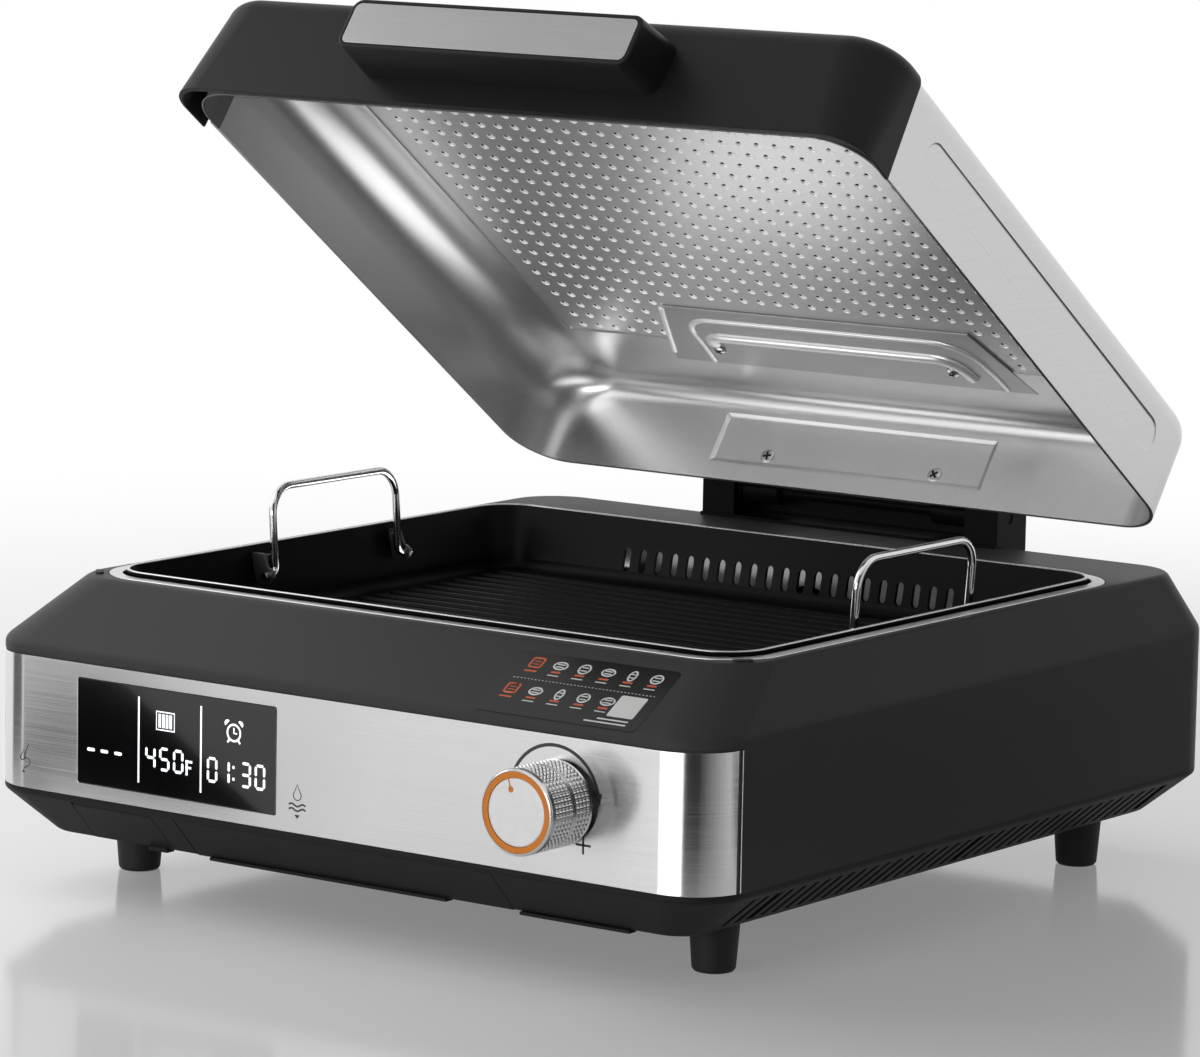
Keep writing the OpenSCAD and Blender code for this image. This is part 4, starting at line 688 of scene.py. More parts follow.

# Grill pan: cast aluminium with a black non-stick coat, and bright bare metal along the top of its rim.
# Ridges run across its floor, and smoke leaves through a row of slots low in its rear wall. It rests on the
# well's ledge.
PAN = (-187, 187, -153, 168, 23)
PAN_FOOT_Z, PAN_TOP_Z, PAN_FLOOR_Z, PAN_RIM_W, PAN_MIDDLE = 112.3, 148.6, 114.8, 2, 45
FOOT_IN, FLOOR_IN = 8, 9.45  # how far the walls lean in at the foot and at the floor
RIDGE_R, RIDGE_PITCH, RIDGES, RIDGE_END, RIDGE_SUNK, RIDGE_POINTS = 2.6, 13, 21, 167, 0.4, 10
SMOKE_SLOTS, SMOKE_PITCH, SMOKE_W, SMOKE_LOW, SMOKE_HIGH = 21, 10, 4.5, 120.8, 132.8
BARE_LOW, BARE_HIGH = 0.14795, 0.14835  # metres
pan_path = eased([(PAN_FOOT_Z, PAN_MIDDLE), (PAN_FOOT_Z, FOOT_IN), (PAN_TOP_Z, 0), (PAN_TOP_Z, PAN_RIM_W),
                  (PAN_FLOOR_Z, FLOOR_IN), (PAN_FLOOR_Z, PAN_MIDDLE)], (2, 0.7, 0.7, 6), 5)
pan = skin("grill_pan_body", [level(grown(PAN, -d), z) for z, d in pan_path], (True, True))


def joined(name, solids):
    """Several closed prisms in one mesh, each given as its two rings of points."""
    verts, faces = [], []
    for first, last in solids:
        n, base = len(first), len(verts)
        verts += first + last
        faces += [(base + i, base + (i + 1) % n, base + n + (i + 1) % n, base + n + i) for i in range(n)]
        faces += [tuple(range(base + n - 1, base - 1, -1)), tuple(range(base + n, base + 2 * n))]
    return shape(name, verts, faces, closed=True)


def ease(value, low, high):
    """0 below low and 1 above high, with a soft step between."""
    return value.node("MapRange", {"interpolation_type": "SMOOTHSTEP"},
                      {"Value": value, "From Min": low, "From Max": high})


slots = []
for i in range(SMOKE_SLOTS):
    x = (i - (SMOKE_SLOTS - 1) / 2) * SMOKE_PITCH
    slot = (x - SMOKE_W / 2, x + SMOKE_W / 2, SMOKE_LOW, SMOKE_HIGH, SMOKE_W / 2 - 0.01)
    slots.append([facing(slot, y, 4) for y in (PAN[3] - 18, PAN[3] + 7)])
cut(pan, joined("smoke_cutter", slots))
half_ridge = [(-RIDGE_END + RIDGE_R * (1 - math.cos(a)), math.sin(a))
              for a in map(math.radians, (6, 30, 60, 90))]
ridge_line = half_ridge + [(-x, k) for x, k in half_ridge[::-1]]
verts, faces = [], []
for i in range(RIDGES):
    middle = (PAN[2] + PAN[3]) / 2 + (i - (RIDGES - 1) / 2) * RIDGE_PITCH
    base = len(verts)
    for x, k in ridge_line:
        verts += [(x, y, z) for y, z in
                  arc(middle, PAN_FLOOR_Z - RIDGE_SUNK, RIDGE_R * k, 0, 180, RIDGE_POINTS - 1)]
    corners = [base + a * RIDGE_POINTS + j
               for a in range(len(ridge_line) - 1) for j in range(RIDGE_POINTS - 1)]
    faces += [(c, c + 1, c + RIDGE_POINTS + 1, c + RIDGE_POINTS) for c in corners]
ridges = shape("grill_ridges", verts, faces, closed=True)
non_stick, place = finish("non_stick_coating")
speckle, cloud = noise(place, 1100, 2.0), noise(place, 16, 3.0)
# bright metal from just under the top of the rim upwards
bare = ease(place.node("SeparateXYZ", {}, {0: place}, "Z"), BARE_LOW, BARE_HIGH)
black = mix(speckle * 0.5 + cloud * 0.5, (0.0025, 0.0025, 0.0026), (0.005, 0.005, 0.0051))
coat(place, {"Base Color": mix(bare, black, 0.62), "Metallic": bare, "Specular IOR Level": 0.06,
             "Roughness": 0.4 + (speckle - 0.5) * 0.14 + (cloud - 0.5) * 0.1 - bare * 0.12},
     speckle, 0.00004, 0.3)
dress(soften(pan, 34), "base", "pan_nonstick", non_stick, "grill_pan")
dress(soften(ridges, 50), "base", "pan_nonstick", non_stick)

# Pan handles: two bails bent from bright chromed wire. Their feet turn out into blued steel lugs
# on the pan's walls, so that each bail can be folded down into the pan.
WIRE_R, BAIL_HALF, BAIL_H, BAIL_BEND, FOOT_BEND, STUB = 2, 50, 44, 14, 4, 5.4
PIVOT_X, PIVOT_Z, BAIL_LEAN = 173.716, 133.7, 4


def tube(name, path, r, sides=16):
    """A round bar swept along a path."""
    path = [Vector(p) for p in path]
    side = None
    rings = []
    for before, p, after in zip(path[:1] + path, path, path[1:] + path[-1:]):
        run = (after - before).normalized()
        side = (run.orthogonal() if side is None else side - run * side.dot(run)).normalized()
        over = run.cross(side)
        turns = [2 * math.pi * k / sides for k in range(sides)]
        rings.append([p + side * (r * math.cos(a)) + over * (r * math.sin(a)) for a in turns])
    return skin(name, rings, (True, True))


half_bail = [(BAIL_HALF + FOOT_BEND + STUB, 0)]
half_bail += arc(BAIL_HALF + FOOT_BEND, FOOT_BEND, FOOT_BEND, -90, -180, 5)
half_bail += arc(BAIL_HALF - BAIL_BEND, BAIL_H - BAIL_BEND, BAIL_BEND, 0, 90, 9)
wire_chrome = clouded("bright_wire_chrome", 120, (0.62, 0.62, 0.63), (0.72, 0.72, 0.73), 0.07, 0.07, 3.0,
                      {"Metallic": 1.0})
for side, name in ((-1, "left"), (1, "right")):
    lean = math.radians(BAIL_LEAN) * side
    bail = [(side * PIVOT_X + z * math.sin(lean), MID_Y + y, PIVOT_Z + z * math.cos(lean))
            for y, z in half_bail + [(-y, z) for y, z in half_bail[::-1]]]
    wire = soften(tube(name + "_wire_bail", bail, WIRE_R), 50)
    dress(wire, name + "_wire", "wire_chrome", wire_chrome, name + "_handle")
ear_steel = brushed("blued_lug_steel", 0.10, 0.15, 0.4, 60)
dress(broken_edges("handle_ears", 0.3), "base", "well_steel", ear_steel, "handle_ears")

# Rim bumpers: two small rubber pads that the closed lid comes down on.
# They are pressed into the rim and stand only a little above it.
PAD_PROUD = 0.3  # share of the built pad's height above the rim
pads = broken_edges("rim_bumpers", 0.5)
for point in pads.data.vertices:
    point.co.z = min(point.co.z, RIM_Z * MM + (point.co.z - RIM_Z * MM) * PAD_PROUD)
dress(pads, "base", "foot_rubber", rubber, "rim_bumpers")

# Hinge: a black painted tower on the rear shoulder, a folded bracket behind the lid, and a steel pin
# through both, with friction washers that hold the lid part open.
hinge_black = moulded("satin_black_paint", (0.0035, 0.0035, 0.0036), (0.006, 0.006, 0.0061), 0.42, 0.06, 1200)
dress(broken_edges("hinge_tower", 1.0), "base", "hinge_black", hinge_black, "hinge_tower")
dress(broken_edges("hinge_bracket", 0.8), "lid", "hinge_black", hinge_black, "hinge_bracket")

# Lid shell: a deep-drawn sheet of brushed stainless steel, stored turned up about its rear hinge.
# A long ring groove is pressed into each side, and the front is left open for the bezel.
HINGE_Y, HINGE_Z, LID_Z, LID_OPEN = 229.6, 160.5, 154.5, 35.8
LID = (-200, 200, -157.9, 208.1, 28)
LID_H, LID_T, LID_EDGE_R, LID_EDGE = 54, 0.9, 14, 2
BEZEL_REAR = -123.9
GROOVE = (-99.9, 164.1, LID_Z + 17, LID_Z + 34, 8.49)  # front, rear, low, high, end radius
GROOVE_PRESS = ((2.0, 1.6), (0, 0.4), (-0.25, 0), (-0.5, -0.55), (-0.55, -1.2))  # out of the side, spread
hinge_at = Vector((0, HINGE_Y, HINGE_Z)) * MM
LID_TURN = (Matrix.Translation(hinge_at) @ Matrix.Rotation(-math.radians(LID_OPEN), 4, "X")
            @ Matrix.Translation(-hinge_at))


def lifted(piece):
    """Turns a piece of the shut lid up to where the lid is stored."""
    piece.data.transform(LID_TURN)
    return piece


def drawn_in(t, h, r):
    """How far a rounded edge has drawn in at a height."""
    return 0 if t <= h - r else r - math.sqrt(max(0, r * r - (t - h + r) ** 2))


def dome(q, h, side_r, rear_r, front_r, thin=0, steps=12):
    """Levels of a drawn tray from its edge up to its flat top, or of its inside, thinned by its sheet."""
    q, h, radii = grown(q, -thin), h - thin, [r - thin for r in (side_r, rear_r, front_r)]
    rings = []
    curve = [h - max(radii) * (1 - math.sin(math.pi / 2 * i / steps)) for i in range(steps + 1)]
    for t in [-LID_EDGE] + curve:
        s, b, f = (drawn_in(t, h, r) for r in radii)
        rings.append(level((q[0] + s, q[1] - s, q[2] + f, q[3] - b, max(q[4] - min(s, b, f), 3)), LID_Z + t))
    return rings


def split_at(bm, geom, at, across, **clear):
    """Cuts faces along a plane, and takes away one side of it where that is asked."""
    bmesh.ops.bisect_plane(bm, geom=geom, plane_co=Vector(across) * at * MM, plane_no=across, **clear)


def trimmed(piece, y, **clear):
    """Cuts a piece off at a plane across the closed lid."""
    with opened(piece.data) as bm:
        split_at(bm, bm.verts[:] + bm.edges[:] + bm.faces[:], y, (0, 1, 0), **clear)
    return piece


lid_radii = (LID_EDGE_R,) * 3
shell = skin("lid_drawn_shell", dome(LID, LID_H, *lid_radii, LID_T)[::-1] + dome(LID, LID_H, *lid_radii),
             (True, True))
for side in (-1, 1):
    press = [[(side * (LID[1] + x), y, z) for y, z in outline(grown(GROOVE, d), 16)] for x, d in GROOVE_PRESS]
    cut(shell, skin("groove_cutter", press, (True, True)), solver="MANIFOLD")
trimmed(shell, BEZEL_REAR + 0.2, clear_inner=True)
lid_steel = brushed("lid_brushed_steel", (0.56, 0.56, 0.565), (0.68, 0.68, 0.685), 0.3, (900, 25, 900),
                    metal=0.9, depth=0.000002, vary=0.08)
dress(soften(lifted(shell), 28), "lid", "lid_steel", lid_steel, "lid_shell")

# Lid liner: a drawn steel tray inside the shell with broad rounded corners, open in its ceiling
# where the perforated reflector shows. Its front, behind the bezel, is lined with grey plastic.
LINER = (-198.9, 198.9, -152.4, 207.0, 27)
LINER_TOP, SHEET_T = 50.8, 0.8
LINER_RADII = (30, 12, 20)  # sides, rear, front
WINDOW = (-165, 165, -108.4, 153.6, 3)
BACKING = (-84.5, 84.5, LID_Z + 8, LID_Z + 37.5)
CHEEK_REAR, CHEEK_T = -118.3, 0.5
ceiling, rear_y = LID_Z + LINER_TOP - SHEET_T, LINER[3] - SHEET_T
rings = [level(LINER, LID_Z - LID_EDGE)] + dome(LINER, LINER_TOP, *LINER_RADII, SHEET_T, 18)
rings += [level(grown(WINDOW, d), ceiling + up) for d, up in ((0.6, 0), (0, 0.2), (0, SHEET_T))]
liner = skin("lid_drawn_liner", rings)
liner.data.flip_normals()
with opened(liner.data) as bm:
    for k, at in enumerate(BACKING):
        wall = [f for f in bm.faces if f.calc_center_median().y > (rear_y - 0.05) * MM]
        split_at(bm, wall + list({e for f in wall for e in f.edges} | {v for f in wall for v in f.verts}), at,
                 (1, 0, 0) if k < 2 else (0, 0, 1))
    left, right, low, high = (at * MM for at in BACKING)
    pressed = [f for f in bm.faces for c in [f.calc_center_median()]
               if c.y > (rear_y - 0.05) * MM and left < c.x < right and low < c.z < high]
    bmesh.ops.delete(bm, geom=pressed, context="FACES")
    split_at(bm, bm.verts[:] + bm.edges[:] + bm.faces[:], CHEEK_REAR, (0, 1, 0))
    for f in bm.faces:
        f.material_index = int(f.calc_center_median().y < CHEEK_REAR * MM)
liner_steel = brushed("liner_drawn_steel", 0.54, 0.61, 0.3, (500, 40, 500), 5,
                      metal=0.92, depth=0.000002, vary=0.04)
cheek_grey = moulded("satin_grey_plastic", 0.15, 0.19, 0.45, 0.2, 2000)
dress(soften(lifted(liner), 40), "lid", "liner_steel", liner_steel, "lid_liner")
liner.data.materials.append(cheek_grey)

# Reflector: a perforated steel sheet over the liner's opening. Each hole is punched through a small dish,
# and the sheet is left plain where the stiffener lies under it. Its holes are closed behind by discs; each
# hole's wall and disc are near-black painted shade, and the dish slopes carry a near-white painted highlight.
HOLE_PITCH, HOLE_COLUMNS, HOLE_ROWS, HOLE_SIDES = 10.5, 30, 25, 16
HOLE_R, HOLE_ASIDE = 0.95, (-1.05, -0.6)
ROW_INSET, SHEET_LAP, PLAIN_ASIDE, PLAIN_AHEAD = 5, 4, 4, 5
DISH = ((2.45, 0, 0), (2.2, 0.4, 0), (HOLE_R, 0.55, 1), (HOLE_R, 1.6, 1))  # radius, depth, set aside
STIFFENER_REAR, STIFFENER_FRONT = 174.1, 118.1
STIFFENER_X = ((-105, 119), (-84, 104))  # left and right ends, at its rear and at its front
SHEET_Z = LID_Z + LINER_TOP + 0.1
first_row, corner = WINDOW[3] - ROW_INSET, HOLE_PITCH / 2
verts, faces, dished, holes = [], [], set(), set()


def plain_sheet(low_x, high_x, low_y, high_y):
    """A flat stretch of the sheet, seen from below."""
    base = len(verts)
    verts.extend([(low_x, low_y, SHEET_Z), (high_x, low_y, SHEET_Z), (high_x, high_y, SHEET_Z),
                  (low_x, high_y, SHEET_Z)])
    faces.append((base + 3, base + 2, base + 1, base))


def over_stiffener(x, y):
    """Whether the stiffener lies under a hole's place."""
    back = (y - STIFFENER_FRONT) / (STIFFENER_REAR - STIFFENER_FRONT)
    left, right = (f + (r - f) * back for r, f in zip(*STIFFENER_X))
    return left - PLAIN_ASIDE <= x <= right + PLAIN_ASIDE and y >= STIFFENER_FRONT - PLAIN_AHEAD


for i in range(HOLE_COLUMNS):
    for j in range(HOLE_ROWS):
        x, y, base = (i - (HOLE_COLUMNS - 1) / 2) * HOLE_PITCH, first_row - j * HOLE_PITCH, len(verts)
        if over_stiffener(x, y):
            plain_sheet(x - corner, x + corner, y - corner, y + corner)
            continue
        for r, deep, aside in ((0, 0, 0),) + DISH:
            for k in range(HOLE_SIDES):
                a = 2 * math.pi * k / HOLE_SIDES
                reach = r or corner / max(abs(math.cos(a)), abs(math.sin(a)))
                verts.append((x + reach * math.cos(a) + aside * HOLE_ASIDE[0],
                              y + reach * math.sin(a) + aside * HOLE_ASIDE[1], SHEET_Z + deep))
        for m, kind in enumerate((set(), dished, dished, holes)):
            kind.update(range(len(faces), len(faces) + HOLE_SIDES))
            start = base + m * HOLE_SIDES
            for k in range(HOLE_SIDES):
                after = (k + 1) % HOLE_SIDES
                faces.append((start + k, start + HOLE_SIDES + k, start + HOLE_SIDES + after, start + after))
        holes.add(len(faces))
        faces.append(tuple(base + len(DISH) * HOLE_SIDES + k for k in range(HOLE_SIDES))[::-1])
grid = (-HOLE_COLUMNS / 2 * HOLE_PITCH, HOLE_COLUMNS / 2 * HOLE_PITCH,
        first_row - (HOLE_ROWS - 0.5) * HOLE_PITCH, first_row + corner)
edge = grown(WINDOW, SHEET_LAP)
plain_sheet(edge[0], grid[0], edge[2], edge[3])
plain_sheet(grid[1], edge[1], edge[2], edge[3])
plain_sheet(grid[0], grid[1], edge[2], grid[2])
plain_sheet(grid[0], grid[1], grid[3], edge[3])
reflector = lifted(shape("perforated_reflector", verts, faces))
reflector_steel = brushed("reflector_steel", 0.50, 0.60, 0.36, (700, 60, 700), 5,
                          metal=0.8, depth=0.000002, vary=0.04)
dress(soften(reflector, 30), "lid", "reflector_steel", reflector_steel, "reflector_panel")
# near-black for the hole walls and the discs that close them: painted shade, also used in the screws' crosses
painted_shade_dark = clouded("hole_shadow", 300, 0.003, 0.008, 0.8)
# near-white dish slopes: a painted highlight
dish_highlight = clouded("dish_painted_highlight", 600, 0.90, 0.97, 0.35, 0.1, more={"Metallic": 0.2})
reflector.data.materials.append(painted_shade_dark)
reflector.data.materials.append(dish_highlight)
for face in reflector.data.polygons:
    face.material_index = 1 if face.index in holes else 2 if face.index in dished else 0

# Stiffener: a pressed steel plate under the ceiling, with a rail, a bar and a side lip raised along it.
# Two cross-head screws hold it up.
STIFFENER_Z, STIFFENER_T, PRESSING_FLAT = LID_Z + 49.7, 1.1, 0.55
STIFFENER_SCREWS, SCREW_BACK = (-69, 75.5), 15.5
(rear_left, rear_right), (front_left, front_right) = STIFFENER_X
plate = prism("stiffener_plate", [(rear_left, STIFFENER_REAR), (rear_right, STIFFENER_REAR),
                                  (front_right, STIFFENER_FRONT), (front_left, STIFFENER_FRONT)],
              STIFFENER_Z, STIFFENER_Z + STIFFENER_T)
plate_steel = brushed("stiffener_plate_steel", 0.36, 0.46, 0.36, (60, 600, 600), 5,
                      metal=0.85, depth=0.000002, vary=0.05)
# The rail, bar and lip get a much paler steel than the plate: a painted highlight along the raised pressings.
rail_highlight_steel = brushed("rail_painted_highlight_steel", 0.77, 0.82, 0.3, (60, 300, 300), 5,
                     metal=0.6, depth=0.000001, vary=0.03)
dress(lifted(soften(plate, 40, 0.3)), "lid", "liner_steel", plate_steel, "lid_stiffener")
rail = [(-79, 172), (-77.5, 158)] + arc(-61, 145, 16, 180, 270, 6) + arc(76, 153, 24, -90, 0, 6)
rail += [(101, 160), (102, 172)]
bar_line = [(-69, 153), (-68, 149), (-64.5, 146.4), (-60, 146)] + arc(70, 161, 15, -90, 0, 6) + [(86.5, 164)]
lip = [(front_left - 1.0, STIFFENER_FRONT + 2), (rear_left + 3, STIFFENER_REAR - 8)]
for name, line, r in (("rail", rail, 1.9), ("bar", bar_line, 4.2), ("lip", lip, 1.7)):
    pressing = tube("stiffener_" + name, [(x, y, STIFFENER_Z) for x, y in line], r, 20)
    for point in pressing.data.vertices:
        point.co.z = STIFFENER_Z * MM + (point.co.z - STIFFENER_Z * MM) * PRESSING_FLAT
    dress(lifted(soften(pressing, 60)), "lid", "liner_steel", rail_highlight_steel)


def screw_heads(name, places, r, h):
    """Domed cross-head screws in one piece, each at a frame whose Z points out of the head."""
    arm, width, cross_foot = r * 0.62, r * 0.17, h * 0.35
    mesh = bpy.data.meshes.new(name)
    with opened(mesh) as heads:
        for at in places:
            head = turned(name, ((r, 0), (r, h * 0.45), (arm, h), (0, h)), (0.3, r * 0.35), steps=32)
            with opened(head.data) as bm:
                bmesh.ops.holes_fill(bm, edges=bm.edges, sides=40)
                bmesh.ops.recalc_face_normals(bm, faces=bm.faces)
            for x, y in ((arm, width), (width, arm)):
                cut(head, blocks("cross_cutter", [(Matrix(), (-x, -y, cross_foot), (x, y, h + 1))]))
            # faces inside each cross take the second material, near-black painted shade
            for face in head.data.polygons:
                x, y, z = (abs(c) for c in face.center / MM)
                in_cross = min(x, y) <= width * 1.05 and max(x, y) <= arm * 1.02
                face.material_index = int(in_cross and z < h * 0.9)
            head.data.transform(Matrix.Scale(MM, 4) @ at @ Matrix.Scale(1 / MM, 4))
            heads.from_mesh(head.data)
            bpy.data.objects.remove(head)
    return placed(name, mesh)


def fasten(piece, node):
    """Dresses the lid's screw heads, whose cross recesses are near-black painted shade."""
    dress(soften(lifted(piece), 35), "lid", "screw_steel", screw_steel, node)
    piece.data.materials.append(painted_shade_dark)


screw_steel = clouded("plated_screw_steel", 400, 0.45, 0.6, 0.24, 0.12, 3.0, {"Metallic": 1.0})
downward = Matrix.Rotation(math.pi, 4, "X") @ Matrix.Rotation(0.4, 4, "Z")
fasten(screw_heads("stiffener_screw_heads",
                   [Matrix.Translation((x, STIFFENER_REAR - SCREW_BACK, STIFFENER_Z)) @ downward
                    for x in STIFFENER_SCREWS], 3.6, 2.0), "stiffener_screws")

# Hinge backing: a shallow recess pressed into the liner's rear wall, of the same steel.
# The hinge bracket's two screws go through it and pull against it.
BACKING_DEEP, BACKING_SLOPE, BACKING_MIDDLE = 0.9, 2.2, 12
HINGE_SCREWS, HINGE_SCREW_Z = ((-50, 0.2), (54, 0.7)), LID_Z + 14.8  # place across and turn of each
press = eased([(0, 0), (BACKING_DEEP, BACKING_SLOPE), (BACKING_DEEP, BACKING_MIDDLE)], (0.8,), 4)
rings = [facing(grown((*BACKING, 1), -d), rear_y + deep, 6) for deep, d in press]
backing = skin("hinge_backing_plate", rings, (False, True))
dress(lifted(soften(backing, 60)), "lid", "liner_steel", liner_steel, "hinge_backing")
forward = Matrix.Rotation(math.pi / 2, 4, "X")
fasten(screw_heads("hinge_screw_heads",
                   [Matrix.Translation((x, rear_y + BACKING_DEEP, HINGE_SCREW_Z)) @ forward
                    @ Matrix.Rotation(spin, 4, "Z") for x, spin in HINGE_SCREWS], 4, 0.7), "hinge_screws")

# Lid bezel: a matte black moulding that closes the shell's open front, hooks under the sheet's edge
# and spreads a little towards its lower rim. It is hollow behind its skin, with grey cheeks inside.
BEZEL_H, BEZEL_DROP, BEZEL_FLARE, BEZEL_PROUD = 54.2, 5, 2.6, 0.6
BEZEL_SIDE_R, BEZEL_FRONT_R, BEZEL_CORNER_R, BEZEL_STEP = 10, 11, 20, 12
SIDE_WALL, FRONT_WALL = 1.5, 3.1
BLANK_REAR = LID[3] - 60  # the moulding is drawn this far back and then cut off


def bezel_rings(side_wall, front_wall, steps=10):
    """Levels of the bezel's outer face, or of its inner one when its walls are taken off."""
    h, side_r, front_r = BEZEL_H - side_wall, BEZEL_SIDE_R - side_wall, BEZEL_FRONT_R - side_wall
    levels = [-BEZEL_DROP - (0.1 if side_wall else 0)] + [-BEZEL_DROP + k * BEZEL_STEP for k in range(1, 4)]
    rings = []
    for t in levels + [h - front_r * (1 - math.sin(math.pi / 2 * i / steps)) for i in range(steps + 1)]:
        k = max(0, 1 - (t + BEZEL_DROP) / (BEZEL_H - BEZEL_FRONT_R + BEZEL_DROP))
        g = BEZEL_PROUD + BEZEL_FLARE * k
        s, f = drawn_in(t, h, side_r), drawn_in(t, h, front_r)
        x = LID[1] + g - side_wall - s
        r = LID[4] + (BEZEL_CORNER_R - LID[4]) * k - side_wall
        front = LID[2] - g + front_wall + f
        rings.append(level((-x, x, front, BLANK_REAR, max(r - min(s, f), 3)), LID_Z + t))
    return rings


bezel = skin("lid_front_bezel", bezel_rings(0, 0), (True, True))
cut(bezel, skin("bezel_cutter", bezel_rings(SIDE_WALL, FRONT_WALL), (True, True)),
    blocks("bezel_end_cutter", [(Matrix(), (-230, BEZEL_REAR, LID_Z - 20), (230, 240, LID_Z + 80))]))
lid_black = moulded("satin_lid_black", (0.013, 0.013, 0.0132), (0.018, 0.018, 0.0182), 0.40, 0.12, 2000)
dress(lifted(soften(bezel, 38, 0.5)), "lid", "lid_black", lid_black, "lid_bezel")
cheek = skin("bezel_inner_cheeks", dome(LINER, LINER_TOP, *LINER_RADII, SHEET_T + CHEEK_T, 18))
dress(soften(lifted(trimmed(cheek, CHEEK_REAR, clear_outer=True)), 40), "lid", "lid_black", cheek_grey)

# Lid handle: a chamfered black block screwed to the bezel from inside, with a plain plate
# of brushed aluminium let into its face.
HANDLE_ROOT = (-88, 87.5, LID_Z + 9, LID_Z + 40, 7)
HANDLE_FACE = (-81.5, 88.3, LID_Z + 6.5, LID_Z + 33, 5.5)
HANDLE_REACH, HANDLE_SUNK, FACE_RIM, PLATE_IN, PLATE_PROUD = 33, 4, 2.0, 2, 0.2


def off_bezel(q, out):
    """A level of the handle, standing out from the closed lid's front."""
    return facing(q, LID[2] - out, 10)


root_to_face = HANDLE_REACH + 1
taper = eased([(-HANDLE_SUNK, 0, 0), (HANDLE_REACH, root_to_face, 0), (HANDLE_REACH, root_to_face, FACE_RIM),
               (HANDLE_REACH - 1, root_to_face, FACE_RIM)], (1.6, 0.25), 6)
grip_levels = [off_bezel(grown(between(HANDLE_ROOT, grown(HANDLE_FACE, 0.4), s / root_to_face), -d), out)
               for out, s, d in taper]
grip_levels.append(off_bezel(grown(HANDLE_FACE, -9), HANDLE_REACH - 1))
grip = skin("lid_handle_grip", grip_levels, (False, True))
dress(lifted(soften(grip, 40)), "lid", "lid_black", lid_black, "lid_handle")
plate_face = HANDLE_REACH + PLATE_PROUD
plate_path = eased([(HANDLE_REACH - 1, 0), (plate_face, 0), (plate_face, 4)], (0.3,), 3)
plate_levels = [off_bezel(grown(HANDLE_FACE, -PLATE_IN - d), out) for out, d in plate_path]
bare_plate = skin("handle_bare_plate", plate_levels, (False, True))
plate_aluminium = brushed("brushed_plate_aluminium", 0.28, 0.36, 0.38, (30, 900, 900), metal=0.9)
dress(lifted(soften(bare_plate)), "lid", "plate_aluminium", plate_aluminium, "handle_plate")

# Rear socket and what is inside the casing: the built solids as they are, with their own finishes,
# from the boards' green lacquer to the heater's scaled tube. All are screwed or clipped inside.
dress(broken_edges("power_inlet", 0.4), "base", "socket_black",
      moulded("socket_black_plastic", 0.012, 0.02, 0.4, 0.4), "power_inlet")
board_green, place = finish("solder_mask_green")
trace = ease(noise(place, (260, 260, 30), 1.0), 0.48, 0.52)
coat(place, {"Base Color": mix(trace, (0.012, 0.075, 0.03), (0.02, 0.12, 0.05)), "Roughness": 0.4,
             "Coat Weight": 0.3})
inside = {"well_steel": brushed("plain_sheet_steel", 0.40, 0.50, 0.38, 60), "screw_steel": screw_steel,
          "circuit_green": board_green,
          "heater_dark": clouded("oxidised_heater_tube", 180, (0.035, 0.032, 0.03), (0.09, 0.085, 0.08),
                                 0.4, 0.2, 4.0, {"Metallic": 0.8}, 0.0001),
          "socket_grey": moulded("socket_grey_plastic", (0.16, 0.16, 0.165), (0.22, 0.22, 0.225), 0.45),
          "fan_plastic": moulded("fan_plastic", 0.02, 0.03, 0.5),
          "motor_metal": brushed("zinc_plated_motor", (0.35, 0.35, 0.34), (0.45, 0.45, 0.44), 0.4, 80),
          "tray_aluminium": brushed("satin_tray_aluminium", 0.55, 0.65, 0.35, (20, 700, 700))}
painted = {"hinge_pin": hinge_black, "friction_washers": hinge_black}
for part in frame["record"]["subparts"]:
    if part["material_slot"] in inside:
        node = frame["nodes"][part["node"]]
        node.data.materials.clear()
        node.data.materials.append(painted.get(part["node"], inside[part["material_slot"]]))

# Studio: a pale glossy floor that fades into a white background, three soft panels, and a small lamp
# for the light that the pan's floor throws up into the lid. The overhead panel lights but is not mirrored.
# Cards that only mirrors see give the steel its dark and pale stripes.
FLOOR_HALF, FADE_NEAR, FADE_FAR, FADE_LEAST = 6000, 0.5, 1.5, 0.2  # the fade's reach is in metres
FILL = 0.2
# name, place, aim, metres wide and tall, watts
PANELS = (("overhead_panel", (-1376, 325, 1338), (0, 0, 150), 1.2, 1.0, 12),
          ("left_panel", (-800, -450, 650), (0, -50, 150), 0.7, 0.7, 3.3),
          ("front_panel", (-150, -2300, 350), (0, 100, 300), 1.8, 0.6, 18),
          ("well_bounce", (-80, 112, 121), (-80, 113, 400), 0.16, 0.11, 0.13))
CARD_H, CARD_FAR = 2500, 3300
RIGHT_END = BODY[1] - BODY[4], BODY[2] + BODY[4]
LEFT_END = -RIGHT_END[0], RIGHT_END[1]
CORNER_FROM, CORNER_TO, LEFT_FROM, LEFT_TO = 15, 46, -47, -75  # bearings in degrees
RIGHT_CARDS, RIGHT_STEP, RIGHT_NEAR, RIGHT_FAR = 8, 9, 280, 3200
GREY_CARDS, GREY_STEP, GREY_NEAR, GREY_FAR = 6, 40, 150, 2900
CORNER_TONE, LEFT_TONE, FLOOR_TONE, LID_TONE = 0.003, 0.1, 0.01, 0.15
RIGHT_TONE, RIGHT_RISE, GREY_TONE, GREY_RISE = 0.06, 0.085, 0.36, 0.08


def in_sight(place):
    """1 for the camera's rays and for those that metal mirrors or glass lets through."""
    camera_ray, mirrored, through = (place.node("LightPath", {}, {}, "Is %s Ray" % kind)
                                     for kind in ("Camera", "Glossy", "Transmission"))
    return camera_ray + mirrored + through


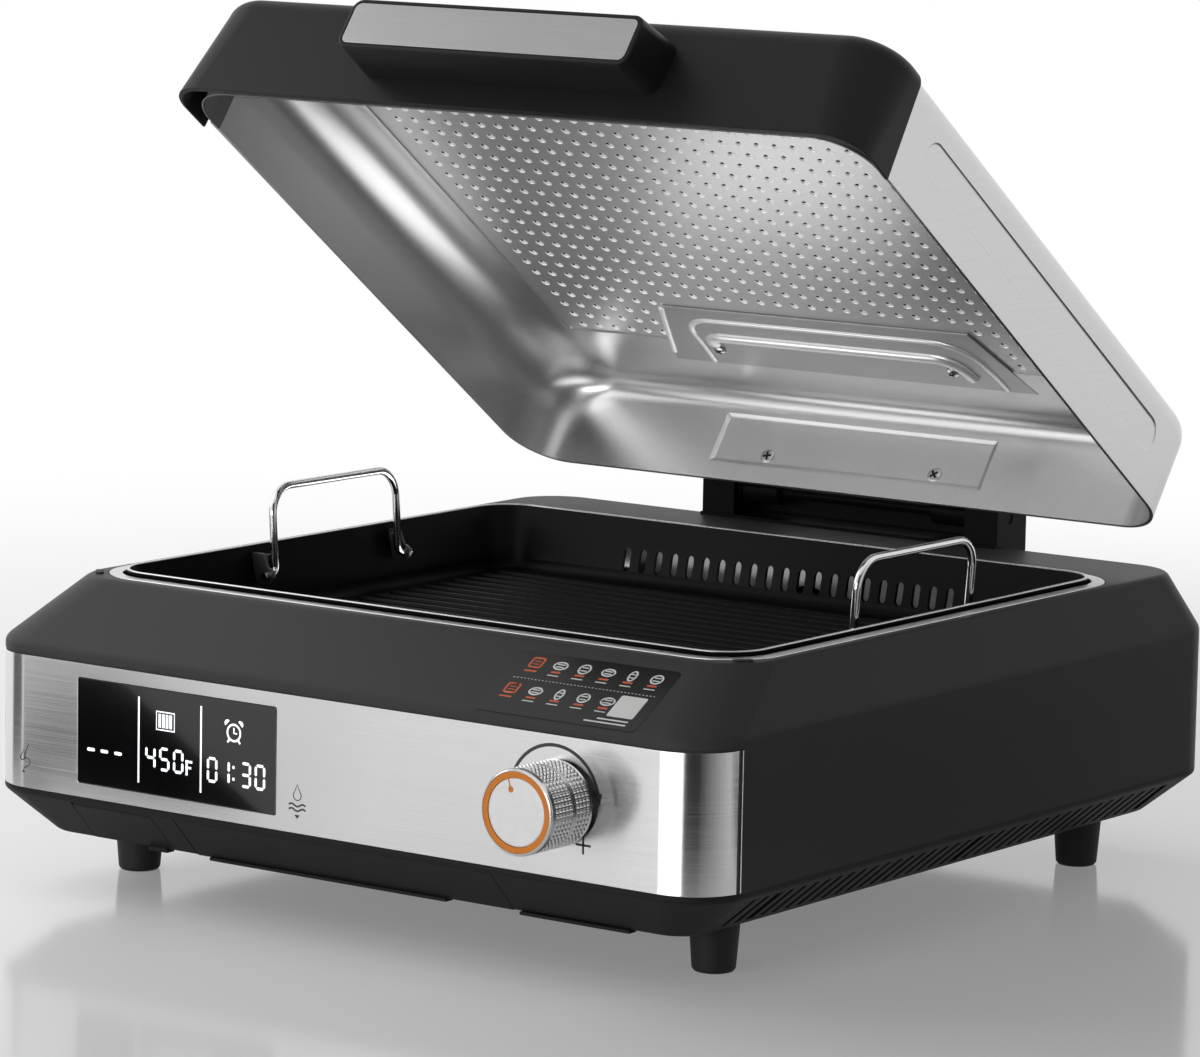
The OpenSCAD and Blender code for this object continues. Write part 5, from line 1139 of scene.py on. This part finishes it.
floor_edge = [(x * FLOOR_HALF, y * FLOOR_HALF, 0) for x, y in ((-1, -1), (1, -1), (1, 1), (-1, 1))]
floor = shape("floor", floor_edge, [(0, 1, 2, 3)])
floor_white, place = finish("floor_white")
away = place.node("VectorMath", {"operation": "LENGTH"}, {0: place}, "Value")
shade = place.node("BsdfPrincipled", {}, {"Base Color": (0.86, 0.86, 0.865, 1), "Roughness": 0.12,
                                          "Specular IOR Level": 0.45})
glow = place.node("Emission", {}, {"Color": (1, 1, 1, 1), "Strength": 1.0})
fade = (ease(away, FADE_NEAR, FADE_FAR) * (1 - FADE_LEAST) + FADE_LEAST) * in_sight(place)
place.node("OutputMaterial", {}, {"Surface": place.node("MixShader", {}, {0: fade, 1: shade, 2: glow})})
floor.data.materials.append(floor_white)

world = bpy.data.worlds.new("studio")
bpy.context.scene.world = world
world.use_nodes = True
world.node_tree.nodes.clear()
air = Wire(world.node_tree)
fill, white = (air.node("Background", {}, {"Color": (1, 1, 1, 1), "Strength": s}) for s in (FILL, 1.0))
air.node("OutputWorld", {}, {"Surface": air.node("MixShader", {}, {0: in_sight(air), 1: fill, 2: white})})

for name, at, aim, wide, tall, power in PANELS:
    lamp = bpy.data.lights.new(name, "AREA")
    lamp.shape, lamp.size, lamp.size_y, lamp.energy = "RECTANGLE", wide, tall, power
    panel = placed(name, lamp)
    at, aim = Vector(at) * MM, Vector(aim) * MM
    panel.matrix_world = Matrix.Translation(at) @ (at - aim).to_track_quat("Z", "Y").to_matrix().to_4x4()
    panel.visible_camera = False
    panel.visible_glossy = name != "overhead_panel"


def toward(middle, bearing, reach):
    """A point on the floor at a bearing, in degrees right of straight ahead, from a corner of the casing."""
    a = math.radians(bearing)
    return (middle[0] + reach * math.sin(a), middle[1] - reach * math.cos(a), 1)


def upright(middle, first, last, reach):
    """An upright card seen from a corner of the casing between two bearings."""
    a, b = toward(middle, first, reach), toward(middle, last, reach)
    return [a, b, (b[0], b[1], CARD_H), (a[0], a[1], CARD_H)]


def mirrored_from(x, reach, z):
    """Where the view, mirrored by the band's front at x, has gone after a reach."""
    eye = VIEW_TARGET + view_back * VIEW_DISTANCE
    out = Vector((x - eye.x, eye.y - BODY[2], 0)).normalized()
    return (x + out.x * reach, BODY[2] + out.y * reach, z)


def flag(name, edge, tone):
    """A card, on the floor or upright, that only the steel and the window mirror, and only from its face."""
    card = shape(name, edge, [tuple(range(len(edge)))])
    face = card.data.polygons[0]
    if face.normal.dot(Vector((0, 0, 0.6)) - face.center) < 0:
        card.data.flip_normals()
    card.visible_camera = card.visible_diffuse = card.visible_shadow = False
    cloth, place = finish(name + "_cloth")
    coat(place, {"Base Color": (0, 0, 0, 1), "Emission Color": mix(noise(place, 200), tone * 0.95, tone),
                 "Emission Strength": 1.0, "Roughness": 0.9, "Specular IOR Level": 0.0,
                 "Alpha": 1 - place.node("NewGeometry", {}, {}, "Backfacing")})
    card.data.materials.append(cloth)


def ground(middle, *points):
    """A card on the floor, through points given as bearings and distances from a corner of the casing."""
    return [toward(middle, bearing, reach) for bearing, reach in points]


flag("window_flag", [(-199, -411, 1), (-370, -405, 1), (-600, -690, 1), (-540, -686, 1)], FLOOR_TONE)
flag("corner_floor_flag", ground(RIGHT_END, (CORNER_FROM, 270), (CORNER_FROM, 2900), (30, 2900),
                                 (CORNER_TO, 2900), (CORNER_TO, 260), (30, 255)), CORNER_TONE)
flag("corner_flag", upright(RIGHT_END, CORNER_FROM, CORNER_TO, CARD_FAR), CORNER_TONE)
for i in range(RIGHT_CARDS):
    low, high = (CORNER_TO + RIGHT_STEP * k for k in (i, i + 1))
    tone = RIGHT_TONE + RIGHT_RISE * i
    flag("right_flag_%d" % i, upright(RIGHT_END, low, high, CARD_FAR), tone)
    flag("right_floor_flag_%d" % i, ground(RIGHT_END, (low, RIGHT_NEAR), (low, RIGHT_FAR), (high, RIGHT_FAR),
                                           (high, RIGHT_NEAR)), tone)
flag("right_wall_flag", [(410, -40, 2), (820, -40, 2), (820, 820, 2), (480, 820, 2), (330, 200, 2)],
     FLOOR_TONE)
flag("left_flag", ground(LEFT_END, (LEFT_FROM, 330), (LEFT_FROM, 2500), (-60, 2500), (LEFT_TO, 2500),
                         (LEFT_TO, 300)), LEFT_TONE)
flag("left_upright_flag", upright(LEFT_END, LEFT_FROM, LEFT_TO, 2600), LEFT_TONE)
flag("lid_flag", [(-560, 60, 1), (-250, 60, 1), (-250, 380, 1), (-560, 380, 1)], LID_TONE)
for i in range(GREY_CARDS):
    low, high = (BODY[0] + GREY_STEP * k for k in (i, i + 1))
    tone = GREY_TONE + GREY_RISE * i
    flag("grey_flag_%d" % i, [mirrored_from(x, GREY_FAR, z) for x, z in
                              ((low, 1), (high, 1), (high, CARD_H), (low, CARD_H))], tone)
    if i in (0, GREY_CARDS - 1):
        flag("grey_floor_flag_%d" % i, [mirrored_from(x, d, 0.5) for x, d in (
            (low, GREY_NEAR), (low, GREY_FAR), (high, GREY_FAR), (high, GREY_NEAR))], tone)
bpy.context.scene.view_settings.view_transform = "Standard"
